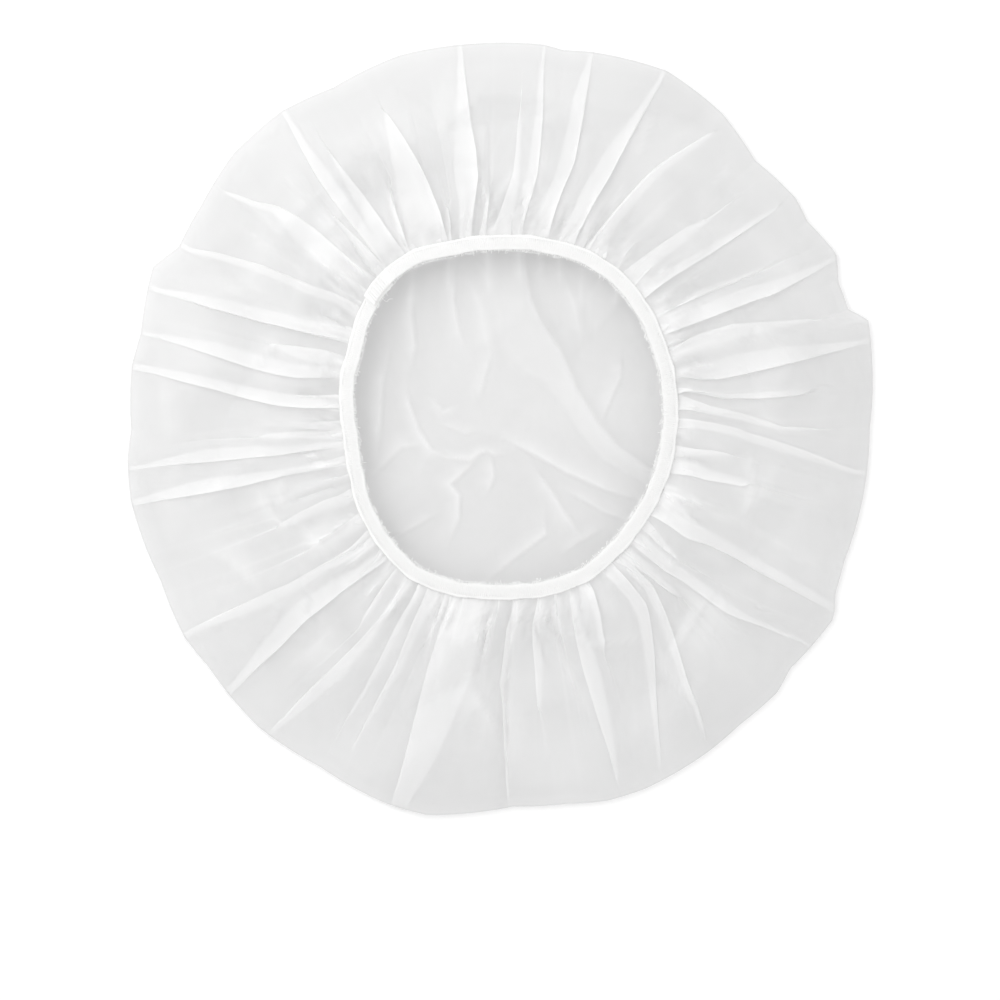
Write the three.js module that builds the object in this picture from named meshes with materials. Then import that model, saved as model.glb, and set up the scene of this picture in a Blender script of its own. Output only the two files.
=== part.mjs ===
// A shower cap of frosted plastic film, lying crown down with its gathered mouth up.
// One round sheet of film is the flat crown, folds over at the rim and comes back as a pleated skirt.
// Its edge is gathered under a flat elastic tape, whose ends lap and are tacked together.
// An overlock seam of three threads joins tape and film: a needle thread, and a looper on each face.
// Millimetres, +Z up. The crown lies on z = 0, and the origin is below the middle of the outline.
import * as THREE from "three";

// Film
const FILM_THICKNESS = 0.15;
const CAP_RADIUS = 137; // mean plan radius of the rim
const RIM_DEPTH = 4.5; // how far the rim's fold reaches in from its outer edge
const RIM_HEIGHT = 7; // height of the rim's fold
const SHOULDER_HEIGHT = 10.5; // skirt outside the pleats
const PLEAT_HEIGHT = 13; // skirt where the pleats stand highest, half way up a pleat
const PLEAT_DROP = 1.8; // how far the skirt sinks between two pleats
const MOUTH_HEIGHT = 12; // top face of the gathered film under the tape
const SEAM_MARGIN = 1; // flat film outside the tape

// Elastic tape
const MOUTH_RADIUS = 62; // mean plan radius of the tape's middle line
const TAPE_WIDTH = 5.4;
const TAPE_THICKNESS = 1;
const TAPE_ROUND = 0.25; // rounding of the tape's edges
const JOIN_ANGLE = 131; // degrees
const LAP_LENGTH = 10; // how far the tape's ends lie on each other
const LAP_RAMP = 14; // length over which the upper end climbs

// Threads
const THREAD = 0.4; // diameter
const NEEDLE_INSET = 1.3; // needle line, in from the tape's outer edge
const EDGE_INSET = 0.3; // stitches, in from an edge of the tape
const STITCHES = 60; // each looper's stitches round the mouth
const TACK_STITCHES = 3;

const REST_GAP = 0.3; // clearance between pieces that lie on each other

const TAPE_STEPS = 84;
const THREAD_SIDES = 4;
const NEEDLE_SIDES = 6;

// Shares of the way across the skirt, from the rim's fold to the seam, and of a pleat's full rise there
const SKIRT_RINGS = [
  { across: 0.22, rise: 0.3 },
  { across: 0.5, rise: 0.7 },
  { across: 0.78, rise: 1 },
];

// Corners of the rim: angle in degrees, and how far the corner stands out from the mean radius
const RIM_CORNERS = [
  [0, -3], [10, 0], [16.5, 2.2], [19, -3.5], [23.5, -3.3], [27.5, 0.5], [34, -2.5], [38, -1],
  [46.5, -2.7], [55, 3], [65, 6.2], [76, 3.7], [80.5, 2.2], [83.5, 3.2], [95, 3], [105, 3.2],
  [116, 0.7], [124.5, 2.7], [134, 1.9], [143, -1.7], [150.5, -3.2], [155, 1.8], [165, -2.3],
  [170.3, -1.6], [180, -3.3], [185, -1.5], [191, -0.7], [204, -2.3], [213.5, 0], [219, -0.7],
  [231, 2], [242, 1.7], [252.8, 4.8], [259.3, 5.4], [264, 3.3], [272, -0.1], [280, 1], [286, 3.2],
  [292, 3.6], [303, 2.2], [309, 1], [316.5, 1.6], [320.5, -0.6], [330.5, 2.1], [334, -1.7],
  [339, -3.3], [350, -3.1],
];

// How far the tape's middle line stands out from its mean radius, every 15 degrees from angle 0
const MOUTH_WAVE = [
  -0.6, 1.2, 3.3, 6.1, 7.4, 6.4, 5.5, 5.7, 7.2, 3.7, -1.7, -4.5,
  -7.5, -7.7, -5.5, -3.4, -1.5, -2.2, -3, -2.1, -1.2, -2, -2.1, -1.4,
];

// Main pleats: angle at the rim and at the mouth in degrees, and rise of the crest
const PLEATS = [
  [0, 8.5, 2.6], [13.5, 15.5, 3.6], [21, 25, 3], [27, 30, 3.4], [39, 43, 3.4], [45, 50, 3],
  [54.5, 64.5, 4.2], [65.5, 69.5, 3], [76, 79, 3.6], [83, 84.3, 2.8], [95.7, 99, 4.2],
  [110.5, 112, 4.4], [124.5, 120, 3.6], [130, 128, 2.6], [138.5, 133.5, 4.2], [149.5, 140, 3.6],
  [162, 156, 3.2], [170.3, 173.5, 3.4], [178, 180, 2.6], [190.5, 190, 3.2], [201, 202, 2.8],
  [212.5, 213, 3.6], [222, 224, 2.8], [232.5, 235, 3.8], [242.7, 242.3, 3.4], [255.5, 259, 4.4],
  [276, 281, 3.8], [287.5, 291, 3.4], [295, 309, 4.2], [311, 316, 2.8], [324.5, 321.5, 3.4],
  [331, 330, 3.4], [340, 342, 2.6], [346, 349, 2.6], [353.5, 363, 3.6],
];

const FULL_TURN = 360;
const UP = new THREE.Vector3(0, 0, 1);
const DOWN = new THREE.Vector3(0, 0, -1);

const filmMaterial = new THREE.MeshStandardMaterial({
  color: 0xe8eaec,
  roughness: 0.4,
  metalness: 0,
  transparent: true,
  opacity: 0.6,
});
const tapeMaterial = new THREE.MeshStandardMaterial({ color: 0xf4f4f2, roughness: 0.9, metalness: 0 });
const threadMaterial = new THREE.MeshStandardMaterial({ color: 0xf8f8f6, roughness: 0.75, metalness: 0 });

/** An angle in degrees brought into the range from 0 to a full turn. */
function wrapped(angle) {
  return THREE.MathUtils.euclideanModulo(angle, FULL_TURN);
}

/** The point at an angle in degrees, a plan radius and a height. */
function polar(angle, radius, height) {
  const turn = THREE.MathUtils.degToRad(angle);
  return new THREE.Vector3(radius * Math.cos(turn), radius * Math.sin(turn), height);
}

/** Plan radius of the rim, which runs straight from corner to corner. */
function rimRadius(angle) {
  const turned = wrapped(angle);
  const next = RIM_CORNERS.findIndex(([corner]) => corner > turned);
  const [startAngle, startOut] = RIM_CORNERS.at(next < 0 ? -1 : next - 1);
  const [endAngle, endOut] = next < 0 ? [FULL_TURN, RIM_CORNERS[0][1]] : RIM_CORNERS[next];
  const share = (turned - startAngle) / (endAngle - startAngle);
  return CAP_RADIUS + THREE.MathUtils.lerp(startOut, endOut, share);
}

/** Plan radius of the tape's middle line, a smooth closed wave through its listed points. */
function mouthRadius(angle) {
  const place = (wrapped(angle) / FULL_TURN) * MOUTH_WAVE.length;
  const index = Math.floor(place);
  const [before, start, end, after] = [-1, 0, 1, 2].map((step) =>
    MOUTH_WAVE.at((index + step) % MOUTH_WAVE.length),
  );
  const t = place - index;
  const slopeIn = (end - before) / 2;
  const slopeOut = (after - start) / 2;
  const wave =
    start +
    slopeIn * t +
    (3 * (end - start) - 2 * slopeIn - slopeOut) * t ** 2 +
    (2 * (start - end) + slopeIn + slopeOut) * t ** 3;
  return MOUTH_RADIUS + wave;
}

/** The turn in degrees that covers a length along the tape. */
function turnOver(length) {
  return THREE.MathUtils.radToDeg(length / MOUTH_RADIUS);
}

/** A mesh with its name, from points and the triangles between them. */
function namedMesh(name, points, triangles, material) {
  const geometry = new THREE.BufferGeometry().setFromPoints(points);
  geometry.setIndex(triangles.flat());
  geometry.computeVertexNormals();
  const mesh = new THREE.Mesh(geometry, material);
  mesh.name = name;
  return mesh;
}

/** The lines that run from rim to mouth, one along each pleat's crest and one between each two. */
function filmColumns() {
  return PLEATS.flatMap(([rim, mouth, rise], i) => {
    const [nextRim, nextMouth] = PLEATS[(i + 1) % PLEATS.length];
    const turn = i + 1 < PLEATS.length ? 0 : FULL_TURN;
    const valley = { rim: (rim + nextRim + turn) / 2, mouth: (mouth + nextMouth + turn) / 2 };
    return [
      { rim, mouth, rise },
      { ...valley, rise: -PLEAT_DROP },
    ];
  });
}

/** Points of the film's middle surface along one column, from the crown's edge to the film's edge. */
function filmColumn({ rim, mouth, rise }) {
  const rimOut = rimRadius(rim);
  const rimIn = rimOut - RIM_DEPTH;
  const tapeMiddle = mouthRadius(mouth);
  const seam = tapeMiddle + TAPE_WIDTH / 2 + SEAM_MARGIN;
  const crownLevel = FILM_THICKNESS / 2;
  const seamLevel = MOUTH_HEIGHT - FILM_THICKNESS / 2;
  const heights = [SHOULDER_HEIGHT, (SHOULDER_HEIGHT + PLEAT_HEIGHT) / 2, PLEAT_HEIGHT];
  const skirt = SKIRT_RINGS.map((ring, i) =>
    polar(
      THREE.MathUtils.lerp(rim, mouth, ring.across),
      THREE.MathUtils.lerp(rimIn, seam, ring.across),
      heights[i] + rise * ring.rise,
    ),
  );
  return [
    polar(rim, rimIn, crownLevel),
    polar(rim, rimOut, RIM_HEIGHT / 2),
    polar(rim, rimIn, RIM_HEIGHT),
    ...skirt,
    polar(mouth, seam, seamLevel),
    polar(mouth, tapeMiddle - TAPE_WIDTH / 2, seamLevel),
  ];
}

/** Outward direction of the film at one point of its grid. Crown and seam are kept flat. */
function filmNormal(grid, column, ring) {
  const last = grid[column].length - 1;
  if (ring === 0) return DOWN;
  if (ring >= last - 1) return UP;
  const ahead = grid[(column + 1) % grid.length][ring];
  const behind = grid.at(column - 1)[ring];
  const around = ahead.clone().sub(behind);
  const along = grid[column][ring + 1].clone().sub(grid[column][ring - 1]);
  return around.cross(along).normalize();
}

/** The film: a closed skin of its own thickness on both sides of its middle surface. */
function makeFilm() {
  const grid = filmColumns().map(filmColumn);
  const rings = grid[0].length;
  const half = FILM_THICKNESS / 2;
  const side = (way) =>
    grid.flatMap((line, column) =>
      line.map((point, ring) => point.clone().addScaledVector(filmNormal(grid, column, ring), way * half)),
    );
  const points = [...side(1), ...side(-1), new THREE.Vector3(), new THREE.Vector3(0, 0, FILM_THICKNESS)];
  const inner = grid.length * rings;
  const outerPole = 2 * inner;
  const innerPole = outerPole + 1;
  const at = (column, ring) => (column % grid.length) * rings + ring;
  const triangles = [];
  grid.forEach((_, column) => {
    triangles.push([outerPole, at(column + 1, 0), at(column, 0)]);
    triangles.push([innerPole, inner + at(column, 0), inner + at(column + 1, 0)]);
    for (let ring = 0; ring < rings - 1; ring++) {
      const [a, b] = [at(column, ring), at(column + 1, ring)];
      const [c, d] = [at(column + 1, ring + 1), at(column, ring + 1)];
      triangles.push([a, b, c], [a, c, d]);
      triangles.push([inner + a, inner + c, inner + b], [inner + a, inner + d, inner + c]);
    }
    const [e, f] = [at(column, rings - 1), at(column + 1, rings - 1)];
    triangles.push([e, f, inner + f], [e, inner + f, inner + e]);
  });
  return namedMesh("film", points, triangles, filmMaterial);
}

/** The plan direction from one point to another. */
function heading(from, to) {
  return to.clone().sub(from).setZ(0).normalize();
}

/** A closed bar with a convex section, swept along an open path that is mitred at its corners. */
function makeBar(name, path, section, material) {
  const last = path.length - 1;
  const points = path.flatMap((point, i) => {
    const arriving = heading(path[Math.max(i - 1, 0)], path[Math.max(i, 1)]);
    const leaving = heading(path[Math.min(i, last - 1)], path[Math.min(i + 1, last)]);
    const middle = arriving.clone().add(leaving).normalize();
    const left = UP.clone().cross(middle).divideScalar(middle.dot(arriving));
    return section.map(([across, up]) => point.clone().addScaledVector(left, across).addScaledVector(UP, up));
  });
  const sides = section.length;
  const triangles = [];
  for (let k = 1; k < sides - 1; k++) {
    triangles.push([0, k + 1, k]);
    triangles.push([last * sides, last * sides + k, last * sides + k + 1]);
  }
  for (let i = 0; i < last; i++) {
    for (let k = 0; k < sides; k++) {
      const [a, b] = [i * sides + k, i * sides + ((k + 1) % sides)];
      triangles.push([a, b, b + sides], [a, b + sides, a + sides]);
    }
  }
  return namedMesh(name, points, triangles, material);
}

/** A rounded rectangle, from its right side round to the left. */
function tapeSection() {
  const [x, y] = [TAPE_WIDTH / 2, TAPE_THICKNESS / 2];
  const [flatX, flatY] = [x - TAPE_ROUND, y - TAPE_ROUND];
  return [
    [x, -flatY], [x, flatY], [flatX, y], [-flatX, y],
    [-x, flatY], [-x, -flatY], [-flatX, -y], [flatX, -y],
  ];
}

/** A thread's round section with a number of sides. */
function threadSection(sides) {
  return Array.from({ length: sides }, (_, k) => {
    const turn = ((k + 0.5) / sides) * 2 * Math.PI;
    return [(THREAD / 2) * Math.cos(turn), (THREAD / 2) * Math.sin(turn)];
  });
}

// The join: the tape starts at its lower end, goes once round and ends on top of its start.
const halfLap = turnOver(LAP_LENGTH) / 2;
const tapeStart = JOIN_ANGLE - halfLap;
const lapStart = tapeStart + FULL_TURN - turnOver(REST_GAP);
const tapeEnd = JOIN_ANGLE + FULL_TURN + halfLap;
const threadStart = JOIN_ANGLE + halfLap + turnOver(THREAD + REST_GAP);
const needleLine = TAPE_WIDTH / 2 - NEEDLE_INSET;

/** How far the tape is raised at an angle along it, which passes a full turn at the lap. */
function lapRise(angle) {
  const climb = THREE.MathUtils.smoothstep(angle, lapStart - turnOver(LAP_RAMP), lapStart);
  return climb * (TAPE_THICKNESS + REST_GAP);
}

/** Height of a thread's middle line where it lies on the tape. */
function overTape(angle) {
  return MOUTH_HEIGHT + REST_GAP + TAPE_THICKNESS + lapRise(angle) + REST_GAP + THREAD / 2;
}

/** Height of a thread's middle line where it lies under the gathered film. */
function underFilm() {
  return MOUTH_HEIGHT - FILM_THICKNESS - REST_GAP - THREAD / 2;
}

/** A path along the mouth at one distance out from the tape's middle line. */
function alongTape(from, to, out, heightAt) {
  return Array.from({ length: TAPE_STEPS + 1 }, (_, i) => {
    const angle = THREE.MathUtils.lerp(from, to, i / TAPE_STEPS);
    return polar(angle, mouthRadius(angle) + out, heightAt(angle));
  });
}

/** A thread's path to and fro across the tape, with two strokes in each stitch. */
function acrossTape(from, to, stitches, outer, inner, heightAt) {
  const strokes = 2 * stitches;
  return Array.from({ length: strokes }, (_, i) => {
    const angle = THREE.MathUtils.lerp(from, to, i / (strokes - 1));
    const ends = i % 2 ? [inner, outer] : [outer, inner];
    return ends.map((out) => polar(angle, mouthRadius(angle) + out, heightAt(angle)));
  }).flat();
}

/** The elastic tape, with its upper end lying on its lower end. */
function makeTape() {
  const middle = MOUTH_HEIGHT + REST_GAP + TAPE_THICKNESS / 2;
  const path = alongTape(tapeStart, tapeEnd, 0, (angle) => middle + lapRise(angle));
  return makeBar("elastic_band", path, tapeSection(), tapeMaterial);
}

/** The needle thread, a line of stitches on the outer part of the tape. */
function makeNeedleThread() {
  const path = alongTape(threadStart, lapStart, needleLine, overTape);
  return makeBar("needle_thread", path, threadSection(NEEDLE_SIDES), threadMaterial);
}

/** A looper thread, between the needle line and the tape's inner edge. */
function makeLooperThread(name, heightAt) {
  const outer = needleLine - THREAD - REST_GAP;
  const inner = EDGE_INSET + THREAD / 2 - TAPE_WIDTH / 2;
  const path = acrossTape(threadStart, lapStart, STITCHES, outer, inner, heightAt);
  return makeBar(name, path, threadSection(THREAD_SIDES), threadMaterial);
}

/** The tack, a few stitches across the whole lap. */
function makeTack() {
  const inset = turnOver(EDGE_INSET + THREAD);
  const outer = TAPE_WIDTH / 2 - EDGE_INSET - THREAD / 2;
  const path = acrossTape(lapStart + 2 * inset, tapeEnd - inset, TACK_STITCHES, outer, -outer, overTape);
  return makeBar("lap_tack", path, threadSection(THREAD_SIDES), threadMaterial);
}

const film = makeFilm();
const outline = new THREE.Box3().setFromObject(film);
const middle = outline.getCenter(new THREE.Vector3());

const cap = new THREE.Group();
cap.position.set(-middle.x, -middle.y, 0);
cap.add(film);
cap.add(makeTape());
cap.add(makeNeedleThread());
cap.add(makeLooperThread("upper_looper_thread", overTape));
cap.add(makeLooperThread("lower_looper_thread", underFilm));
cap.add(makeTack());

const showerCap = new THREE.Group();
showerCap.add(cap);

export default showerCap;
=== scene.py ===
"""A shower cap of frosted film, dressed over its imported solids.

The cap lies crown down on a pale floor with its gathered mouth up, and the camera looks straight down
on it. Sizes are millimetres, which become the frame's metres where a mesh is made. Angles are degrees,
counted from +X towards +Y round the middle of the cap.
"""

import logging
import math
from collections.abc import Iterable
from dataclasses import dataclass
from enum import Enum
from typing import ClassVar

import bpy
import numpy as np
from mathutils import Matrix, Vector
from mathutils.geometry import delaunay_2d_cdt
from numpy.typing import NDArray


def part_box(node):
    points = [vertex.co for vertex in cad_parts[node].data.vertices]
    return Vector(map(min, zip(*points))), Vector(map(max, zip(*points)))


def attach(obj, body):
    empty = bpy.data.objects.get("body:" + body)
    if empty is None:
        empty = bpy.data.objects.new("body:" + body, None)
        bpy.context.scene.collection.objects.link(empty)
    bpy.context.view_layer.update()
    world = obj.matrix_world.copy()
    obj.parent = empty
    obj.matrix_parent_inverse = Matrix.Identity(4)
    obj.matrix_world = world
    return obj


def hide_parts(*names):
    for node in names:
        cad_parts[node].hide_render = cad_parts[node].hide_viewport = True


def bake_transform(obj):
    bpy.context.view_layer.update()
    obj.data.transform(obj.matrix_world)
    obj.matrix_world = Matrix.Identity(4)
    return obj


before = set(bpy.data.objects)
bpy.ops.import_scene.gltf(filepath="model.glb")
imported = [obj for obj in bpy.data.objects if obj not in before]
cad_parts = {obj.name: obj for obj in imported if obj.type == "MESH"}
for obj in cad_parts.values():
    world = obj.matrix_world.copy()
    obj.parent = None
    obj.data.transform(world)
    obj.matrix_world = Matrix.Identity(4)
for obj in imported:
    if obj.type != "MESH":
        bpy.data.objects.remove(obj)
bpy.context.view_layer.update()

Array = NDArray[np.float64]
Line = tuple[tuple[float, float], ...]
Faces = list[tuple[int, ...]]
Colour = tuple[float, float, float, float]
Strands = list[tuple[Array, float]]

METRES = 0.001
FULL_TURN = 360.0

# Depth of the film's under side below the tape's under side
FILM_DEPTH = 0.9

log = logging.getLogger("shower_cap")


class FoldSide(Enum):
    """The side of a pleat that its folded edge lies on, seen along the rising angle."""

    LOW = -1
    HIGH = 1


class Body(Enum):
    """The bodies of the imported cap."""

    POUCH = "pouch"
    MOUTH = "mouth"


@dataclass(frozen=True)
class Pleat:
    """One knife pleat of the skirt.

    Attributes:
        side: Where its folded edge lies.
        line: Points of the folded edge from rim to mouth, as angle, plan radius and width of the lap there.
    """

    side: FoldSide
    line: tuple[tuple[float, float, float], ...]

    def edge(self, radius: Array) -> Array:
        """Angle of the folded edge at a plan radius."""
        return self._along(radius, 0)

    def lap(self, radius: Array) -> Array:
        """Width of the lap at a plan radius."""
        return self._along(radius, 2)

    def middle(self, radius: Array) -> Array:
        """Angle of the lap's middle at a plan radius."""
        half = np.degrees(self.lap(radius) / 2 / radius)
        return self.edge(radius) - self.side.value * half

    def _along(self, radius: Array, item: int) -> Array:
        """One item of the line, read at a plan radius."""
        points = np.array(self.line)[::-1]
        return np.interp(radius, points[:, 1], points[:, item])


@dataclass(frozen=True)
class Crease:
    """A straight-sided crease in the film, highest along its line.

    Attributes:
        FADE: Share of the line's length over which each end fades out.
        line: Plan points of the crease in millimetres.
        rise: Height of the crease, below zero for a valley.
        left: Reach of the flank on the left of the line.
        right: Reach of the flank on its right.
    """

    FADE: ClassVar[float] = 0.3

    line: Line
    rise: float
    left: float
    right: float

    def profile(self, plan: Array) -> Array:
        """The crease's share of its full height at plan points.

        Args:
            plan: Points, the last axis holding x and y.

        Returns:
            The share at each point, 1 along the line and 0 beyond its flanks.
        """
        points = np.array(self.line, float)
        steps = np.linalg.norm(np.diff(points, axis=0), axis=1)
        starts = np.concatenate([[0.0], np.cumsum(steps)])
        nearest = np.full(plan.shape[:-1], np.inf)
        place = np.zeros(plan.shape[:-1])
        flank = np.zeros(plan.shape[:-1])
        for begin, end, step, start in zip(points, points[1:], steps, starts):
            way = end - begin
            off = plan - begin
            share = np.clip((off @ way) / step**2, 0, 1)
            away = np.linalg.norm(off - share[..., None] * way, axis=-1)
            closer = away < nearest
            side = way[0] * off[..., 1] - way[1] * off[..., 0]
            flank = np.where(closer, np.where(side > 0, self.left, self.right), flank)
            place = np.where(closer, start + share * step, place)
            nearest = np.where(closer, away, nearest)
        ends = np.clip(np.minimum(place, starts[-1] - place) / (self.FADE * starts[-1]), 0, 1)
        return ends * np.clip(1 - nearest / flank, 0, None)


@dataclass(frozen=True)
class SoftFold:
    """A broad soft fold of the crown, with painted light along its long flank and painted shade on its
    steep one.

    Attributes:
        line: Points of its ridge, as x, y, reach of the pale flank and strength of the fold there.
        rise: Height of the ridge.
        steep: Reach of the steep flank, on the left of the line.
        pale: How far the long flank is whitened, a painted light.
        clear: How far haze is taken off the steep flank, a painted shade.
        soft: Width past the ridge over which the whitening ends.
        foot: Share of the pale flank over which the whitening sets in.
        foot_white: Share of the whitening that the flank's foot has.
    """

    line: tuple[tuple[float, float, float, float], ...]
    rise: float = 1.2
    steep: float = 7.0
    pale: float = 0.36
    clear: float = 0.15
    soft: float = 1.4
    foot: float = 0.3
    foot_white: float = 0.6

    def press(self, plan: Array) -> tuple[Array, Array]:
        """Presses the fold into the film at plan points.

        Args:
            plan: Points, the last axis holding x and y.

        Returns:
            The added height at each point, and how far the film is whitened there: painted light on the
            long flank, and painted shade, below zero, on the steep one.
        """
        points = np.array(self.line, float)
        way = points[-1, :2] - points[0, :2]
        axis = way / np.linalg.norm(way)
        normal = np.array((-axis[1], axis[0]))
        ridge = points[:, :2] - points[0, :2]
        off = plan - points[0, :2]
        along = off @ axis
        away = off @ normal - np.interp(along, ridge @ axis, ridge @ normal)
        reach = np.interp(along, ridge @ axis, points[:, 2])
        strength = np.interp(along, ridge @ axis, points[:, 3])
        before = np.clip(1 + away / reach, 0, 1)
        past = np.clip(1 - away / self.steep, 0, 1) ** 2
        ending = ease(1 - away / self.soft)
        height = self.rise * strength * ease(before) * past
        fullness = self.foot_white + (1 - self.foot_white) * before
        # Painted light on the long flank, painted shade on the steep one
        pale = self.pale * ease(before / self.foot) * fullness * ending
        return height, strength * (pale - self.clear * past * (1 - ending))


@dataclass(frozen=True)
class Facets:
    """A crumpled surface of flat triangles between points of its own height and haze.

    Attributes:
        MERGE: Distance below which two corners are one.
        SLACK: Share by which a point may lie outside a triangle and still count as in it.
        points: Plan points of the crumples' corners.
        heights: Their heights.
        hazes: How far the film is whitened round each corner.
    """

    MERGE: ClassVar[float] = 1e-4
    SLACK: ClassVar[float] = 1e-6

    points: Array
    heights: Array
    hazes: Array

    def press(self, plan: Array) -> tuple[Array, Array]:
        """Presses the crumples into the film at plan points.

        Args:
            plan: Points, the last axis holding x and y.

        Returns:
            The height of the surface at each point, and how far the film is whitened there.
        """
        spots = [Vector(point) for point in self.points]
        corners, _, triangles, origin, _, _ = delaunay_2d_cdt(spots, [], [], 0, self.MERGE)
        places = np.array(corners)
        lifts = np.array([self.heights[source[0]] for source in origin])
        hazes = np.array([self.hazes[source[0]] for source in origin])
        flat = plan.reshape(-1, 2)
        height = np.zeros(len(flat))
        white = np.zeros(len(flat))
        for a, b, c in triangles:
            first = places[b] - places[a]
            second = places[c] - places[a]
            off = flat - places[a]
            area = first[0] * second[1] - first[1] * second[0]
            along = (off[:, 0] * second[1] - off[:, 1] * second[0]) / area
            aside = (first[0] * off[:, 1] - first[1] * off[:, 0]) / area
            inside = (along > -self.SLACK) & (aside > -self.SLACK) & (along + aside < 1 + self.SLACK)
            lift = lifts[a] + along * (lifts[b] - lifts[a]) + aside * (lifts[c] - lifts[a])
            haze = hazes[a] + along * (hazes[b] - hazes[a]) + aside * (hazes[c] - hazes[a])
            height = np.where(inside, lift, height)
            white = np.where(inside, haze, white)
        return height.reshape(plan.shape[:-1]), white.reshape(plan.shape[:-1])


LOW = FoldSide.LOW
HIGH = FoldSide.HIGH

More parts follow.
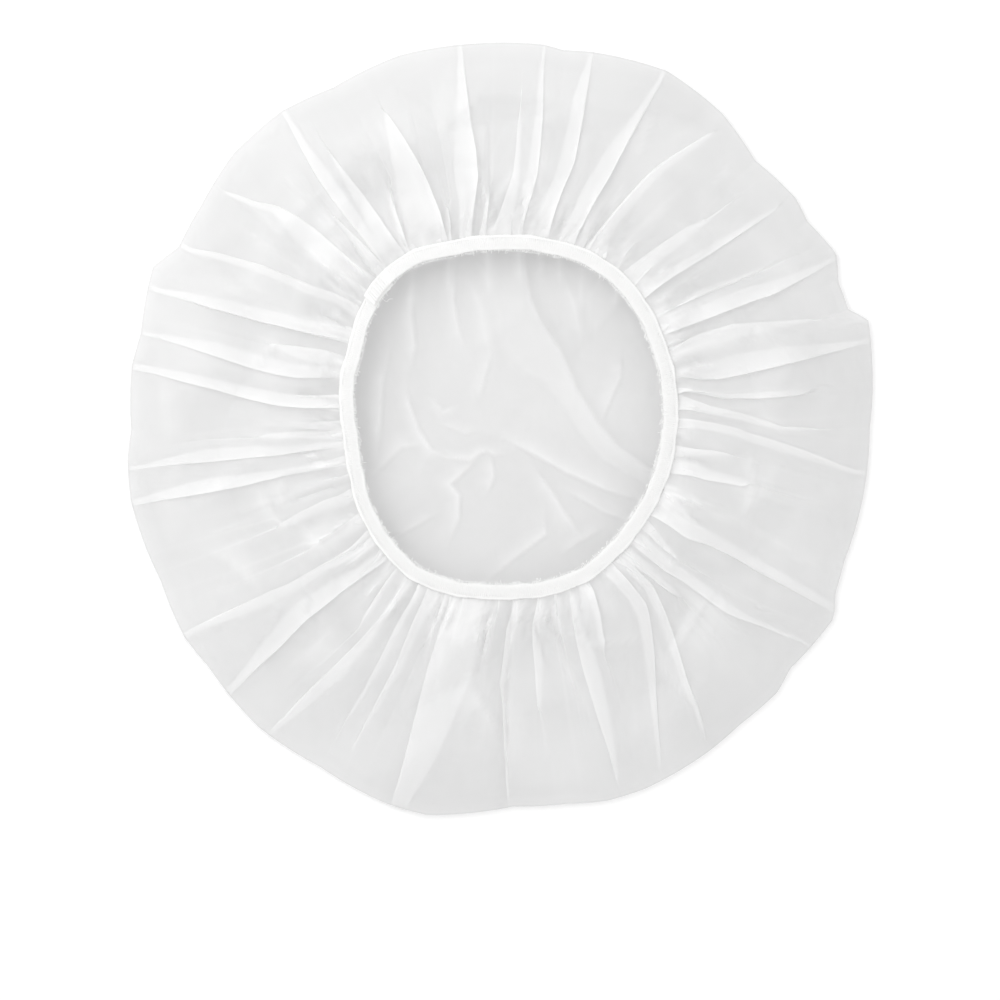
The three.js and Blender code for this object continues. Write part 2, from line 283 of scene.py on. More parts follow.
# Knife pleats of the skirt, in order of angle
PLEATS = (
    Pleat(HIGH, ((0.3, 137, 0), (0, 102, 1.2), (1.7, 95, 2), (3.8, 85, 2.4), (5.5, 76.5, 2.4),
                 (8.7, 66, 2.2))),
    Pleat(LOW, ((6.4, 137, 0), (6.6, 114, 0.4), (6.4, 109, 2), (6.4, 95, 2.5), (7.4, 82, 1.6),
                (11.5, 68, 1))),
    Pleat(LOW, ((13.4, 137, 1), (13.2, 125, 3), (12.8, 110, 6), (12.4, 90, 8), (12.4, 81.5, 7),
                (13.2, 75, 5), (15.1, 69, 4))),
    Pleat(HIGH, ((18, 137, 0), (19.2, 121.5, 0.8), (20.9, 110, 2.5), (22.6, 101, 4), (24.3, 93, 5.5),
                 (25.4, 84, 6), (26.1, 76, 5.5), (25.6, 70, 4.5))),
    Pleat(LOW, ((27.7, 137, 0.8), (27, 130, 1.6), (26.8, 115, 4), (27.1, 110, 5), (27.3, 100, 5.5),
                (27.9, 88, 5.5), (28.6, 79, 5), (29.9, 68, 4.5))),
    Pleat(LOW, ((30.2, 137, 0), (30.3, 110, 1), (31.6, 100, 1.8), (32.6, 91.5, 2.2), (33.5, 84, 2.4),
                (35.4, 70, 2.4))),
    Pleat(LOW, ((38.5, 137, 0), (38.7, 126.5, 1), (39.5, 110, 2), (40.1, 99, 2.6), (41, 90, 3),
                (42, 81.5, 3), (43.5, 71.5, 2.8))),
    Pleat(HIGH, ((44, 137, 0), (45, 106, 0.8), (46.1, 100, 3), (46.9, 94, 4), (48.2, 85, 4.6),
                 (49.5, 76.5, 4.8), (50.3, 72, 4.8))),
    Pleat(HIGH, ((53.8, 137, 0), (54.4, 131.5, 1), (55.9, 124, 1.8), (57.6, 117, 2.4), (59.3, 110, 3),
                 (60.6, 103, 3.4), (61.9, 94, 3.6), (63.1, 86.5, 4), (64.3, 79, 5), (65, 73, 6.5))),
    Pleat(LOW, ((65.2, 137, 1), (65.6, 121.5, 3), (66, 110, 5.5), (66.6, 98, 6.5), (67.3, 89, 6),
                (68.1, 79, 5), (69.6, 72, 4.5))),
    Pleat(LOW, ((76.3, 137, 1), (76.1, 131.5, 3), (75.8, 123, 4.5), (75, 110, 5), (74.5, 100, 5.2),
                (74.7, 96.5, 5), (75.6, 89, 4.4), (76.4, 81.5, 5), (77.4, 72, 6))),
    Pleat(LOW, ((83.4, 137, 0.8), (83.3, 130, 1.6), (83, 119, 2.4), (82.8, 109, 3), (82.6, 100, 3.2),
                (82.7, 94, 3.4), (83.3, 85, 3.4), (84.5, 71.5, 3))),
    Pleat(HIGH, ((87, 137, 0), (86, 114, 0.8), (86, 91.5, 2), (87.3, 85, 3), (89, 78, 3.2), (91, 71, 3))),
    Pleat(LOW, ((91.5, 137, 0), (92.3, 90, 0.4), (92.9, 81.5, 1.6), (94.1, 71.5, 2))),
    Pleat(LOW, ((95.5, 137, 1.5), (95.3, 113, 5), (94.9, 101.5, 8), (95.1, 91.5, 8.5), (96.3, 84, 6),
                (97.5, 78, 5), (98.9, 71, 4.5))),
    Pleat(LOW, ((102.5, 137, 0), (102.5, 85, 0.4), (103.5, 77, 1.6), (105.2, 71.5, 1.6))),
    Pleat(LOW, ((110.5, 137, 0), (110, 122, 0.6), (108.9, 113, 5), (107.8, 103, 8.5), (106.7, 91.5, 11.5),
                (106.1, 81.5, 13), (106.7, 72, 12))),
    Pleat(LOW, ((116, 137, 0), (113.6, 98, 0.5), (115.5, 88, 2), (116.4, 80, 2.4), (117.3, 72, 2.2))),
    Pleat(LOW, ((121.2, 137, 0), (122.6, 110, 1), (121.9, 100, 3), (121, 90, 4), (120, 75, 4))),
    Pleat(HIGH, ((124.4, 137, 1.5), (125.1, 124, 3), (125.3, 113, 5), (125.5, 99, 5), (125.3, 88, 4.5),
                 (125.4, 73, 4))),
    Pleat(LOW, ((128, 137, 0), (127.5, 98, 0.5), (127, 91.5, 2.2), (126.4, 84, 3.6), (126, 73, 5))),
    Pleat(LOW, ((139.6, 137, 0), (139.4, 135, 0.6), (138.8, 129, 1), (137.1, 120, 1.6), (134.7, 113, 2.6),
                (133.2, 105, 6), (132.4, 98, 8), (131.9, 89, 8), (131.3, 79, 6.5), (130.6, 73, 6))),
    Pleat(LOW, ((150, 137, 0.4), (149.9, 129, 1.2), (148.2, 120, 2), (146.9, 111.5, 2.4),
                (145.6, 104, 2.8), (144.3, 95, 3), (142.6, 85, 3.2), (140.5, 76.5, 3.2), (139.7, 70, 3))),
    Pleat(HIGH, ((158.8, 137, 0.5), (158.6, 134.5, 1.2), (157.8, 113, 4), (156.3, 95, 5), (154.6, 84, 5),
                 (152.9, 75, 4.6), (149.9, 64, 4))),
    Pleat(LOW, ((162, 137, 0), (160, 90, 0.4), (158.8, 83, 3), (157.5, 76.5, 5), (155.8, 69, 6),
                (155, 64, 5))),
    Pleat(HIGH, ((165, 137, 0.6), (165.1, 119, 3), (165.4, 106.5, 5), (166, 94, 5.5), (166.1, 84, 5.5),
                 (165.7, 76.5, 5), (163.9, 69, 4.5), (161.8, 62, 4))),
    Pleat(HIGH, ((170.1, 137, 1), (170.3, 126.5, 2), (171, 116.5, 3.4), (171.8, 104, 4),
                 (173.1, 91.5, 4.6), (174, 81.5, 4.6), (174, 71.5, 4), (173.3, 60, 3.4))),
    Pleat(LOW, ((182.5, 137, 0), (182.4, 88, 0.4), (182.3, 80, 2), (181.6, 70, 2.6), (181, 58, 2.6))),
    Pleat(HIGH, ((186.2, 137, 0.5), (186.2, 128, 1.6), (185.8, 106.5, 5), (186.1, 84, 4), (186, 71.5, 3),
                 (187, 58, 2.6))),
    Pleat(HIGH, ((191.3, 137, 0.6), (191.3, 129, 2.2), (191.5, 116.5, 4.4), (191.7, 106.5, 5),
                 (191.9, 94, 4), (191.5, 80, 2), (192, 60, 1.6))),
    Pleat(LOW, ((202, 137, 0), (203.6, 88, 0.4), (204.1, 85, 1.6), (203.3, 78, 2.4), (203, 69, 2.4),
                (203.9, 61.5, 2.2))),
    Pleat(LOW, ((208, 137, 0), (212, 82, 0.6), (212.4, 76.5, 3), (212, 69, 4), (211.4, 59, 5))),
    Pleat(LOW, ((212.6, 137, 0.6), (212.6, 131.5, 1.6), (213.1, 121.5, 3), (213.9, 113, 4),
                (215.2, 101.5, 4.5), (216.3, 96, 4), (217.5, 80, 2.6), (219.2, 69, 4), (218.6, 61, 4))),
    Pleat(HIGH, ((225, 137, 1.5), (224.8, 113, 6), (223.9, 98, 7), (225.2, 81.5, 5), (226.5, 73, 4),
                 (228.2, 64, 3.4))),
    Pleat(LOW, ((229.5, 137, 0), (235, 88, 0.4), (233.8, 76.5, 2), (231.6, 64, 2.6))),
    Pleat(LOW, ((232.5, 137, 0.6), (232.5, 133, 1.4), (232.7, 121.5, 4), (233.5, 110, 4.6),
                (234.6, 99, 4.6), (235.9, 88, 4), (236.8, 81.5, 3), (237.6, 64, 3))),
    Pleat(LOW, ((241.6, 137, 0), (242.8, 116, 0.8), (242.6, 94, 2), (242.1, 79, 2.2), (242.6, 65, 2.2))),
    Pleat(LOW, ((245, 137, 0), (244.7, 119, 0.8), (245.5, 109, 2), (246.2, 94, 2.4), (246, 75, 2.4),
                (246.6, 64, 2.4))),
    Pleat(LOW, ((249, 137, 0), (250.6, 85, 0.3), (250.7, 78, 1), (250.7, 64, 1.2))),
    Pleat(LOW, ((253, 139, 5), (252.9, 128, 9), (252.8, 119, 11.5), (252.7, 104, 14), (252.6, 91, 16),
                (252.6, 73, 15), (253.4, 64, 12.5))),
    Pleat(LOW, ((271.4, 137, 0.6), (271.1, 119, 0.7), (270.8, 100, 0.8), (270.5, 91.5, 1),
                (271.6, 81.5, 1.6), (272.6, 73, 2.2), (275.5, 64, 2.4))),
    Pleat(LOW, ((277.5, 137, 0), (277.7, 104, 0.6), (277.8, 98, 2), (278.4, 88, 3), (278.8, 79, 3),
                (279.7, 71.5, 2.6), (283, 63, 2.4))),
    Pleat(LOW, ((284.5, 137, 0), (285.9, 80, 0.5), (286.8, 73, 1.8), (288.2, 64, 2))),
    Pleat(LOW, ((288.2, 137, 0.6), (288.6, 125, 2.4), (288.7, 111.5, 4.5), (289.1, 93, 6),
                (289.7, 81.5, 4.5), (290.6, 74, 3), (292.5, 64, 2.4))),
    Pleat(HIGH, ((292, 137, 0), (295, 90, 0.4), (295.9, 83, 1.4), (298, 76, 2), (300.2, 67, 2))),
    Pleat(HIGH, ((295.2, 137, 0.4), (295.2, 135, 0.8), (297.2, 124, 1.6), (299.7, 114, 2.4),
                 (302.6, 105, 3.6), (306.4, 95, 4.6), (309.8, 86.5, 4.8), (311, 83, 4.8),
                 (311.2, 74, 4.6), (311, 64, 4.4))),
    Pleat(HIGH, ((303.5, 137, 0.5), (303.6, 134, 0.8), (305.1, 125, 1.6), (306.4, 114, 2.4),
                 (308.5, 104, 3), (310.7, 94, 3.4), (312.8, 85, 3.4), (314.7, 77.8, 3), (313.9, 69, 2.4),
                 (313.2, 64, 2.2))),
    Pleat(LOW, ((314, 137, 0), (317, 90, 0.4), (316, 84, 2), (314.9, 74, 2.8), (314.6, 64, 2.8))),
    Pleat(LOW, ((325.6, 137, 0.3), (325.6, 133, 0.8), (323.9, 121.5, 1.2), (322, 112, 2.4),
                (320.9, 106, 3.6), (320.6, 94, 3.8), (320.2, 84, 3.8), (319.4, 79, 4), (319.3, 64, 3.6))),
    Pleat(LOW, ((328, 137, 0), (323.8, 80, 0.4), (324, 73, 1.4), (326, 64, 2))),
    Pleat(LOW, ((331, 137, 0.8), (330.7, 130, 1.8), (330.5, 119, 3), (330.3, 104, 3.8), (330.5, 96, 4),
                (329.9, 85, 5), (328.6, 78, 7.5), (330, 68, 10), (330.6, 64, 11))),
    Pleat(LOW, ((345, 137, 0), (347.6, 92, 0.5), (347.8, 88, 2), (347.6, 76.5, 3.4), (348.9, 64, 3.6))),
    Pleat(HIGH, ((349.5, 137, 0), (353.4, 88, 0.4), (353.8, 76.5, 1.6), (352.6, 66, 1.8))),
    Pleat(HIGH, ((352.8, 137, 0.3), (352.9, 126.5, 1.4), (354.6, 118, 2.2), (355.9, 110, 3),
                 (357.6, 100, 3.2), (358.9, 91.5, 3.2), (360.6, 85, 3), (362.7, 74, 2.8),
                 (364.5, 66, 2.6))),
)

# Creases that cross the skirt
SKIRT_CREASES = (
    Crease(((-89, -19), (-82.7, -30), (-78, -35), (-70.6, -39)), 0.9, 1.5, 7),
    Crease(((-79, -15), (-79, -24), (-77, -31)), 0.7, 1.5, 5),
    Crease(((-75, -31), (-65, -41), (-61, -48)), 0.8, 1.5, 6),
    Crease(((-70, -59), (-71, -67), (-67, -72)), 0.6, 1.5, 5),
    Crease(((14, -74), (27, -75), (36, -78), (57, -75)), 0.5, 5, 1.8),
    Crease(((62, -82), (73, -64), (78, -56)), 0.8, 6, 1.5),
    Crease(((89, -36), (91, -19), (90, -4)), 0.8, 4, 2),
    Crease(((-55, 80), (-64, 70)), 0.7, 1.5, 4),
    Crease(((-12, -90), (-8, -98), (-2, -107), (0, -116)), 1.0, 1.8, 8),
    Crease(((-122, 20), (-121, 5), (-119, -8)), 0.8, 8, 2),
    # A long valley whose taken-away haze is a painted shade strip
    Crease(((6.5, -52), (5.3, -64), (3.4, -80.7), (2.5, -92.6), (2.5, -152)), -1.2, 1.0, 9),
    Crease(((-78, 33), (-88, 24), (-86, 20)), 0.8, 2, 7),
    Crease(((8, 96), (-1, 84), (-4, 78)), 0.8, 6, 2),
    Crease(((-84, -60), (-98, -47), (-109, -42)), 0.9, 3, 9),
)

# Broad fold that runs across the crown from the mouth's top to its right, with painted light and painted
# shade on its flanks
MAIN_FOLD = SoftFold((
    (6, 84, 18, 0), (8, 66, 18, 0.5), (9, 56, 17, 0.7), (10.8, 47, 18, 0.9), (14, 39.5, 19, 1),
    (18, 33.5, 20, 1), (21, 29, 18, 1), (23.3, 24.4, 13, 1), (27.6, 13.8, 8.5, 1), (34.5, 2.6, 8, 1),
    (43.2, -7.4, 8, 1), (51.3, -13, 7, 0.9), (72, -26, 6, 0.4), (88, -34, 6, 0),
))

# Creases of the crown that show inside the mouth
CROWN_CREASES = (
    Crease(((-13, 58), (-7, 44), (-5, 31.6), (-2, 21)), 1.4, 8, 5),
    Crease(((-8, -1), (-1.2, -1.8), (9.9, -7.3), (23.8, -15), (37.7, -21.3), (56, -27)), 2.2, 9, 1.5),
    Crease(((-35.3, 21), (-33.3, 9.4), (-29.8, -0.4), (-24.9, -8), (-15, -12)), 2.0, 1.4, 5),
    Crease(((-40, 32), (-43, 16.3), (-43.7, 5.2), (-45.1, -14)), 1.8, 1.6, 6),
    Crease(((-31.9, 60), (-32.6, 41.4), (-31.2, 30.2), (-34, 16)), 1.8, 1.8, 7),
    Crease(((-16.5, 62), (-17.2, 46.9), (-15.2, 34.4), (-11, 24)), 1.5, 1.6, 6),
    Crease(((-26, -6), (-19.3, -10.1), (-11, -10.8), (-6.8, -8), (-1.2, -8.5), (9, -6)), 1.7, 4, 1.4),
    Crease(((-4, -6), (-13.8, -15.7), (-18.6, -19.9), (-15.2, -24), (-15.4, -32.4), (-21, -46)),
           2.1, 1.6, 7),
    Crease(((-4, -8), (-2.6, -17.1), (-6, -25)), 1.6, 1.6, 6),
    Crease(((-48, -18), (-36, -6), (-26, -5)), 1.3, 7, 2),
    Crease(((9, -11), (18.3, -22.7), (22.4, -29.6), (31, -42)), 1.9, 1.5, 7),
    Crease(((20, -20), (30.8, -25.4), (37.7, -29.6), (50, -34)), 1.5, 6, 1.6),
    Crease(((15, -25), (16.2, -38), (7.1, -44.9), (-8, -57)), 1.9, 1.5, 6),
    Crease(((20, -46), (39, -34)), 1.4, 5, 1.4),
    Crease(((43, 32), (43.3, 19.1), (39.1, 9.4), (35, 0)), 1.6, 1.5, 6),
    Crease(((-42, -41), (-21, -29)), 1.2, 6, 1.6),
    Crease(((-3, 30), (-9, 8)), 1.2, 1.6, 6),
    Crease(((22, 58), (27, 44), (30, 28)), 1.4, 3, 10),
    Crease(((-27, 13), (-21, 6), (-14, 9)), 1.1, 1.4, 4),
    Crease(((-24, 3), (-13, -1), (-6, 0)), 1.0, 4, 1.4),
    # Short creases under the mouth's top: their whitening is partly the film's own and partly a painted
    # light that lifts the band's shade there
    Crease(((-32, 66), (-31, 40)), 1.2, 4, 4),
    Crease(((-18, 70), (-19, 46)), 1.2, 3, 3),
    Crease(((-5, 72), (-4, 44)), 1.4, 5, 5),
    Crease(((6, 72), (8, 50)), 1.2, 4, 4),
    Crease(((14, 72), (15, 52)), 1.0, 2.5, 2.5),
    Crease(((21, 70), (22, 50)), 1.2, 3, 3),
    Crease(((30, 66), (29, 38)), 1.2, 5, 5),
    Crease(((43, 56), (41, 42)), 1.1, 3, 3),
)


def polar(angle: Array, radius: Array, height: Array) -> Array:
    """Points at angles, plan radii and heights, with x, y and z on a new last axis."""
    turn = np.radians(angle)
    return np.stack(np.broadcast_arrays(radius * np.cos(turn), radius * np.sin(turn), height), axis=-1)


def ease(share: Array) -> Array:
    """A smooth step from 0 to 1 over a share from 0 to 1."""
    held = np.clip(share, 0, 1)
    return held * held * (3 - 2 * held)


def step_up(share: float, start: float, span: float) -> float:
    """A smooth step from 0 to 1 for one share, over a span from a start."""
    return float(ease(np.array((share - start) / span)))


def set_values(piece: bpy.types.Object, name: str, values: Array) -> None:
    """Gives each corner of a piece its value of a named mesh attribute."""
    piece.data.attributes.new(name, "FLOAT", "POINT").data.foreach_set("value", values)


def make_piece(name: str, points: Array, faces: Faces, material: bpy.types.Material) -> bpy.types.Object:
    """Makes a smooth-shaded mesh object.

    Args:
        name: Name of the piece.
        points: Its corners in millimetres.
        faces: Its faces, as corner numbers.
        material: Its finish.

    Returns:
        The new object, linked to the scene.
    """
    mesh = bpy.data.meshes.new(name)
    mesh.from_pydata((points * METRES).tolist(), [], faces)
    mesh.polygons.foreach_set("use_smooth", [True] * len(mesh.polygons))
    mesh.materials.append(material)
    piece = bpy.data.objects.new(name, mesh)
    bpy.context.scene.collection.objects.link(piece)
    return piece


def tube(path: Array, radius: float, sides: int, first: int) -> tuple[Array, Faces]:
    """A round tube along an open path, closed at both ends.

    Args:
        path: Points of its middle line.
        radius: Radius of the tube.
        sides: Sides of its section.
        first: Number of its first corner in the mesh that it joins.

    Returns:
        Its corners and its faces.
    """
    along = np.gradient(path, axis=0)
    along /= np.linalg.norm(along, axis=1, keepdims=True)
    lean = 1e-3  # keeps the section's axes defined where the path runs straight up
    across = np.cross(along, (0.0, 0.0, 1.0)) + lean * np.cross(along, (0.0, 1.0, 0.0))
    across /= np.linalg.norm(across, axis=1, keepdims=True)
    upward = np.cross(across, along)
    turn = np.arange(sides) * 2 * math.pi / sides
    ring = np.cos(turn)[None, :, None] * across[:, None] + np.sin(turn)[None, :, None] * upward[:, None]
    points = (path[:, None] + radius * ring).reshape(-1, 3)
    faces: Faces = []
    for step in range(len(path) - 1):
        for side in range(sides):
            a = first + step * sides + side
            b = first + step * sides + (side + 1) % sides
            faces.append((a, b, b + sides, a + sides))
    faces.append(tuple(first + side for side in reversed(range(sides))))
    faces.append(tuple(first + (len(path) - 1) * sides + side for side in range(sides)))
    return points, faces


@dataclass(frozen=True)
class CapOutline:
    """Plan lines of the cap: the rim, straight from corner to corner, and the wavy ring of the mouth.

    Attributes:
        rim_mean: Mean plan radius of the rim.
        rim_corners: Corners of the rim, as angle and distance out from the mean radius.
        mouth_mean: Mean plan radius of the tape's middle line.
        mouth_wave: Distance of that line out from its mean radius, at equal turns from angle 0.
    """

    rim_mean: float = 137.0
    rim_corners: Line = (
        (0, -3), (10, 0), (16.5, 2.2), (19, -3.5), (23.5, -3.3), (27.5, 0.5), (34, -2.5), (38, -1),
        (46.5, -2.7), (55, 3), (65, 6.2), (76, 3.7), (80.5, 2.2), (83.5, 3.2), (95, 3), (105, 3.2),
        (116, 0.7), (124.5, 2.7), (134, 1.9), (143, -1.7), (150.5, -3.2), (155, 1.8), (165, -2.3),
        (170.3, -1.6), (180, -3.3), (185, -1.5), (191, -0.7), (204, -2.3), (213.5, 0), (219, -0.7),
        (231, 2), (242, 1.7), (252.8, 4.8), (259.3, 5.4), (264, 3.3), (272, -0.1), (280, 1), (286, 3.2),
        (292, 3.6), (303, 2.2), (309, 1), (316.5, 1.6), (320.5, -0.6), (330.5, 2.1), (334, -1.7),
        (339, -3.3), (350, -3.1),
    )
    mouth_mean: float = 62.0
    mouth_wave: tuple[float, ...] = (
        -0.6, 1.2, 3.3, 6.1, 7.4, 6.4, 5.5, 5.7, 7.2, 3.7, -1.7, -4.5,
        -7.5, -7.7, -5.5, -3.4, -1.5, -2.2, -3, -2.1, -1.2, -2, -2.1, -1.4,
    )

    def rim(self, angle: Array) -> Array:
        """Plan radius of the rim at an angle."""
        corners = np.array(self.rim_corners)
        return self.rim_mean + np.interp(angle, corners[:, 0], corners[:, 1], period=FULL_TURN)

    def mouth(self, angle: Array) -> Array:
        """Plan radius of the tape's middle line, a smooth closed wave.

        Args:
            angle: Angles round the cap.

        Returns:
            The radius at each angle.
        """
        wave = np.array(self.mouth_wave)
        place = np.mod(angle, FULL_TURN) / FULL_TURN * len(wave)
        index = np.floor(place).astype(int)
        before, start, end, after = (wave[(index + step) % len(wave)] for step in (-1, 0, 1, 2))
        share = place - index
        leave = (end - before) / 2
        arrive = (after - start) / 2
        square = 3 * (end - start) - 2 * leave - arrive
        cube = 2 * (start - end) + leave + arrive
        return self.mouth_mean + start + leave * share + square * share**2 + cube * share**3


class NodeBoard:
    """The node tree of one material, with short calls to place and join nodes.

    Attributes:
        NOISE_RANGE: Values between which a noise texture mostly stays.
    """

    NOISE_RANGE: ClassVar[tuple[float, float]] = (0.3, 0.7)

    def __init__(self, name: str) -> None:
        """Makes an empty material.

        Args:
            name: Name of the material.
        """
        self.material = bpy.data.materials.new(name)
        self.material.use_nodes = True
        self.tree = self.material.node_tree
        self.tree.nodes.clear()

    def feed(self, socket: bpy.types.NodeSocket, value: object) -> None:
        """Joins an output to a node's input, or sets the input's own value.

        Args:
            socket: The input.
            value: An output of another node, or a plain value.
        """
        if isinstance(value, bpy.types.NodeSocket):
            self.tree.links.new(value, socket)
        else:
            socket.default_value = value

    def add(self, kind: str, **values: object) -> bpy.types.Node:
        """Adds a node.

        Args:
            kind: The node's type.
            values: Settings of the node, or what its inputs are fed, by name with _ for a space.

        Returns:
            The new node.
        """
        node = self.tree.nodes.new(kind)
        for name, value in values.items():
            if hasattr(node, name):
                setattr(node, name, value)
            else:
                self.feed(node.inputs[name.replace("_", " ")], value)
        return node

    def math(self, operation: str, *values: object) -> bpy.types.NodeSocket:
        """Works a value out of others.

        Args:
            operation: The math node's operation.
            values: Its values or joined outputs, in order.

        Returns:
            The result.
        """
        node = self.add("ShaderNodeMath", operation=operation)
        for socket, value in zip(node.inputs, values):
            self.feed(socket, value)
        return node.outputs[0]

    def spread(self, value: bpy.types.NodeSocket, low: float, high: float) -> bpy.types.NodeSocket:
        """Maps a noise texture's usual range to another range.

        Args:
            value: The texture's value.
            low: Least value of the new range.
            high: Greatest value of the new range.

        Returns:
            The mapped value.
        """
        least, most = self.NOISE_RANGE
        node = self.add("ShaderNodeMapRange", Value=value, From_Min=least, From_Max=most)
        self.feed(node.inputs["To Min"], low)
        self.feed(node.inputs["To Max"], high)
        return node.outputs["Result"]

    def blend(self, share: bpy.types.NodeSocket, first: object, second: object) -> bpy.types.NodeSocket:
        """Mixes two colours.

        Args:
            share: The second colour's share.
            first: The first colour, or an output that gives it.
            second: The second colour, or an output that gives it.

        Returns:
            The mixed colour.
        """
        node = self.add("ShaderNodeMix", data_type="RGBA", Factor=share)
        self.feed(node.inputs["A"], first)
        self.feed(node.inputs["B"], second)
        return node.outputs["Result"]

    def mix(self, share: object, first: bpy.types.Node, second: bpy.types.Node) -> bpy.types.Node:
        """Mixes two shaders.

        Args:
            share: The second shader's share.
            first: The first shader.
            second: The second shader.

        Returns:
            The mixed shader.
        """
        node = self.add("ShaderNodeMixShader", Fac=share)
        self.feed(node.inputs[1], first.outputs[0])
        self.feed(node.inputs[2], second.outputs[0])
        return node

    def finish(self, surface: bpy.types.Node) -> bpy.types.Material:
        """Joins the surface to the material's output and gives the material back."""
        self.add("ShaderNodeOutputMaterial", Surface=surface.outputs[0])
        return self.material


@dataclass(frozen=True)
class FrostedFilm:
    """Thin frosted plastic film, partly clear and partly scattering.

    Attributes:
        WHITENING_AND_SHADE: Mesh attribute that says how far a crease whitens the film, and that also
            carries painted light and painted shade on folds, valleys and gaps.
        FOLD_SHADE: Mesh attribute that is 1 where the film is folded sharply at the rim, where shade is
            painted.
        edge_shade_colour: Darker grey painted where the film is folded sharply at the rim, a painted shade
            of the fold seen edge on.
        colour: Colour of the scattered light.
        edge_shade_colour: Colour where the film is folded and seen edge on.
        clear: Least and greatest share of light that passes straight through a sheet that is met square on.
        through: Share of the scattered light that comes out on the far side.
        roughness: Least and greatest roughness.
        stopped: Share of the passing light that a fully whitened crease stops.
    """

    WHITENING_AND_SHADE: ClassVar[str] = "whitening"
    FOLD_SHADE: ClassVar[str] = "painted_fold_shade"

    colour: Colour = (0.99, 0.99, 0.99, 1.0)
    edge_shade_colour: Colour = (0.92, 0.92, 0.92, 1.0)
    clear: tuple[float, float] = (0.34, 0.42)
    through: float = 0.37
    roughness: tuple[float, float] = (0.4, 0.52)
    stopped: float = 0.9

    def material(self) -> bpy.types.Material:
        """Makes the film's material, with a soft mottle and a fine frost.

        Returns:
            The material.
        """
        board = NodeBoard("frosted_film")
        place = board.add("ShaderNodeTexCoord").outputs["Object"]
        noise = board.add("ShaderNodeTexNoise", Vector=place, Scale=26.0, Detail=1.0, Roughness=0.5)
        mottle = noise.outputs["Fac"]
        # Whitening of creases, together with painted light and painted shade
        white = board.add("ShaderNodeAttribute", attribute_name=self.WHITENING_AND_SHADE).outputs["Fac"]
        # Painted shade: the sharply folded rim is mixed towards a darker grey
        edge = board.add("ShaderNodeAttribute", attribute_name=self.FOLD_SHADE).outputs["Fac"]
        tint = board.blend(edge, self.colour, self.edge_shade_colour)
        frost = board.add("ShaderNodeTexNoise", Vector=place, Scale=2400.0, Detail=2.0)
        bump = board.add("ShaderNodeBump", Height=frost.outputs["Fac"], Strength=0.08, Distance=0.0002)
        grain = bump.outputs["Normal"]
        face = board.add(
            "ShaderNodeBsdfPrincipled",
            Base_Color=tint,
            Roughness=board.spread(mottle, *self.roughness),
            Normal=grain,
            Specular_IOR_Level=0.35,
        )
        behind = board.add("ShaderNodeBsdfTranslucent", Color=tint, Normal=grain)
        scatter = board.mix(self.left_of(board, self.through, white), face, behind)
        see_through = board.add("ShaderNodeBsdfTransparent")
        slant = board.add("ShaderNodeLayerWeight", Blend=0.5).outputs["Facing"]
        square_on = board.math("SUBTRACT", 1.0, slant)
        clearness = board.math("MULTIPLY", square_on, board.spread(mottle, *self.clear))
        passed = board.math("MULTIPLY", clearness, self.left_of(board, 1.0, white))
        return board.finish(board.mix(passed, scatter, see_through))

    def left_of(self, board: NodeBoard, share: float, white: bpy.types.NodeSocket) -> bpy.types.NodeSocket:
        """What a crease's whitening leaves of a share of light."""
        return board.math("MULTIPLY_ADD", white, -self.stopped * share, share)


@dataclass(frozen=True)
class WovenElastic:
    """White woven elastic, matt, with a fine weave and painted shade along its edges.

    Attributes:
        EDGE_SHADE: Mesh attribute that rises to 1 at the tape's edges, where shade is painted.
        colour: Colour of the yarn.
        shade: Colour between the yarns.
        edge_shade_colour: Darker colour painted at the edges, a painted shade of the rounded edges.
        roughness: Least and greatest roughness.
    """

    EDGE_SHADE: ClassVar[str] = "edge_shade"

    colour: Colour = (0.975, 0.975, 0.97, 1.0)
    shade: Colour = (0.915, 0.915, 0.915, 1.0)
    edge_shade_colour: Colour = (0.92, 0.92, 0.915, 1.0)
    roughness: tuple[float, float] = (0.8, 0.95)

    def material(self) -> bpy.types.Material:
        """Makes the tape's material.

        Returns:
            The material.
        """
        board = NodeBoard("woven_elastic")
        place = board.add("ShaderNodeTexCoord").outputs["Object"]
        weave = board.add("ShaderNodeTexNoise", Vector=place, Scale=1800.0, Detail=3.0).outputs["Fac"]
        lint = board.add("ShaderNodeTexNoise", Vector=place, Scale=260.0, Detail=2.0).outputs["Fac"]
        tint = board.blend(board.spread(weave, 0.0, 0.5), self.colour, self.shade)
        # Painted shade: the tape's edges are mixed towards a darker colour
        edge = board.add("ShaderNodeAttribute", attribute_name=self.EDGE_SHADE).outputs["Fac"]
        yarn = board.add("ShaderNodeBump", Height=weave, Strength=0.35, Distance=0.0003)
        surface = board.add(
            "ShaderNodeBsdfPrincipled",
            Base_Color=board.blend(edge, tint, self.edge_shade_colour),
            Roughness=board.spread(lint, *self.roughness),
            Normal=yarn.outputs["Normal"],
            Specular_IOR_Level=0.2,
            Sheen_Weight=0.2,
        )
        return board.finish(surface)


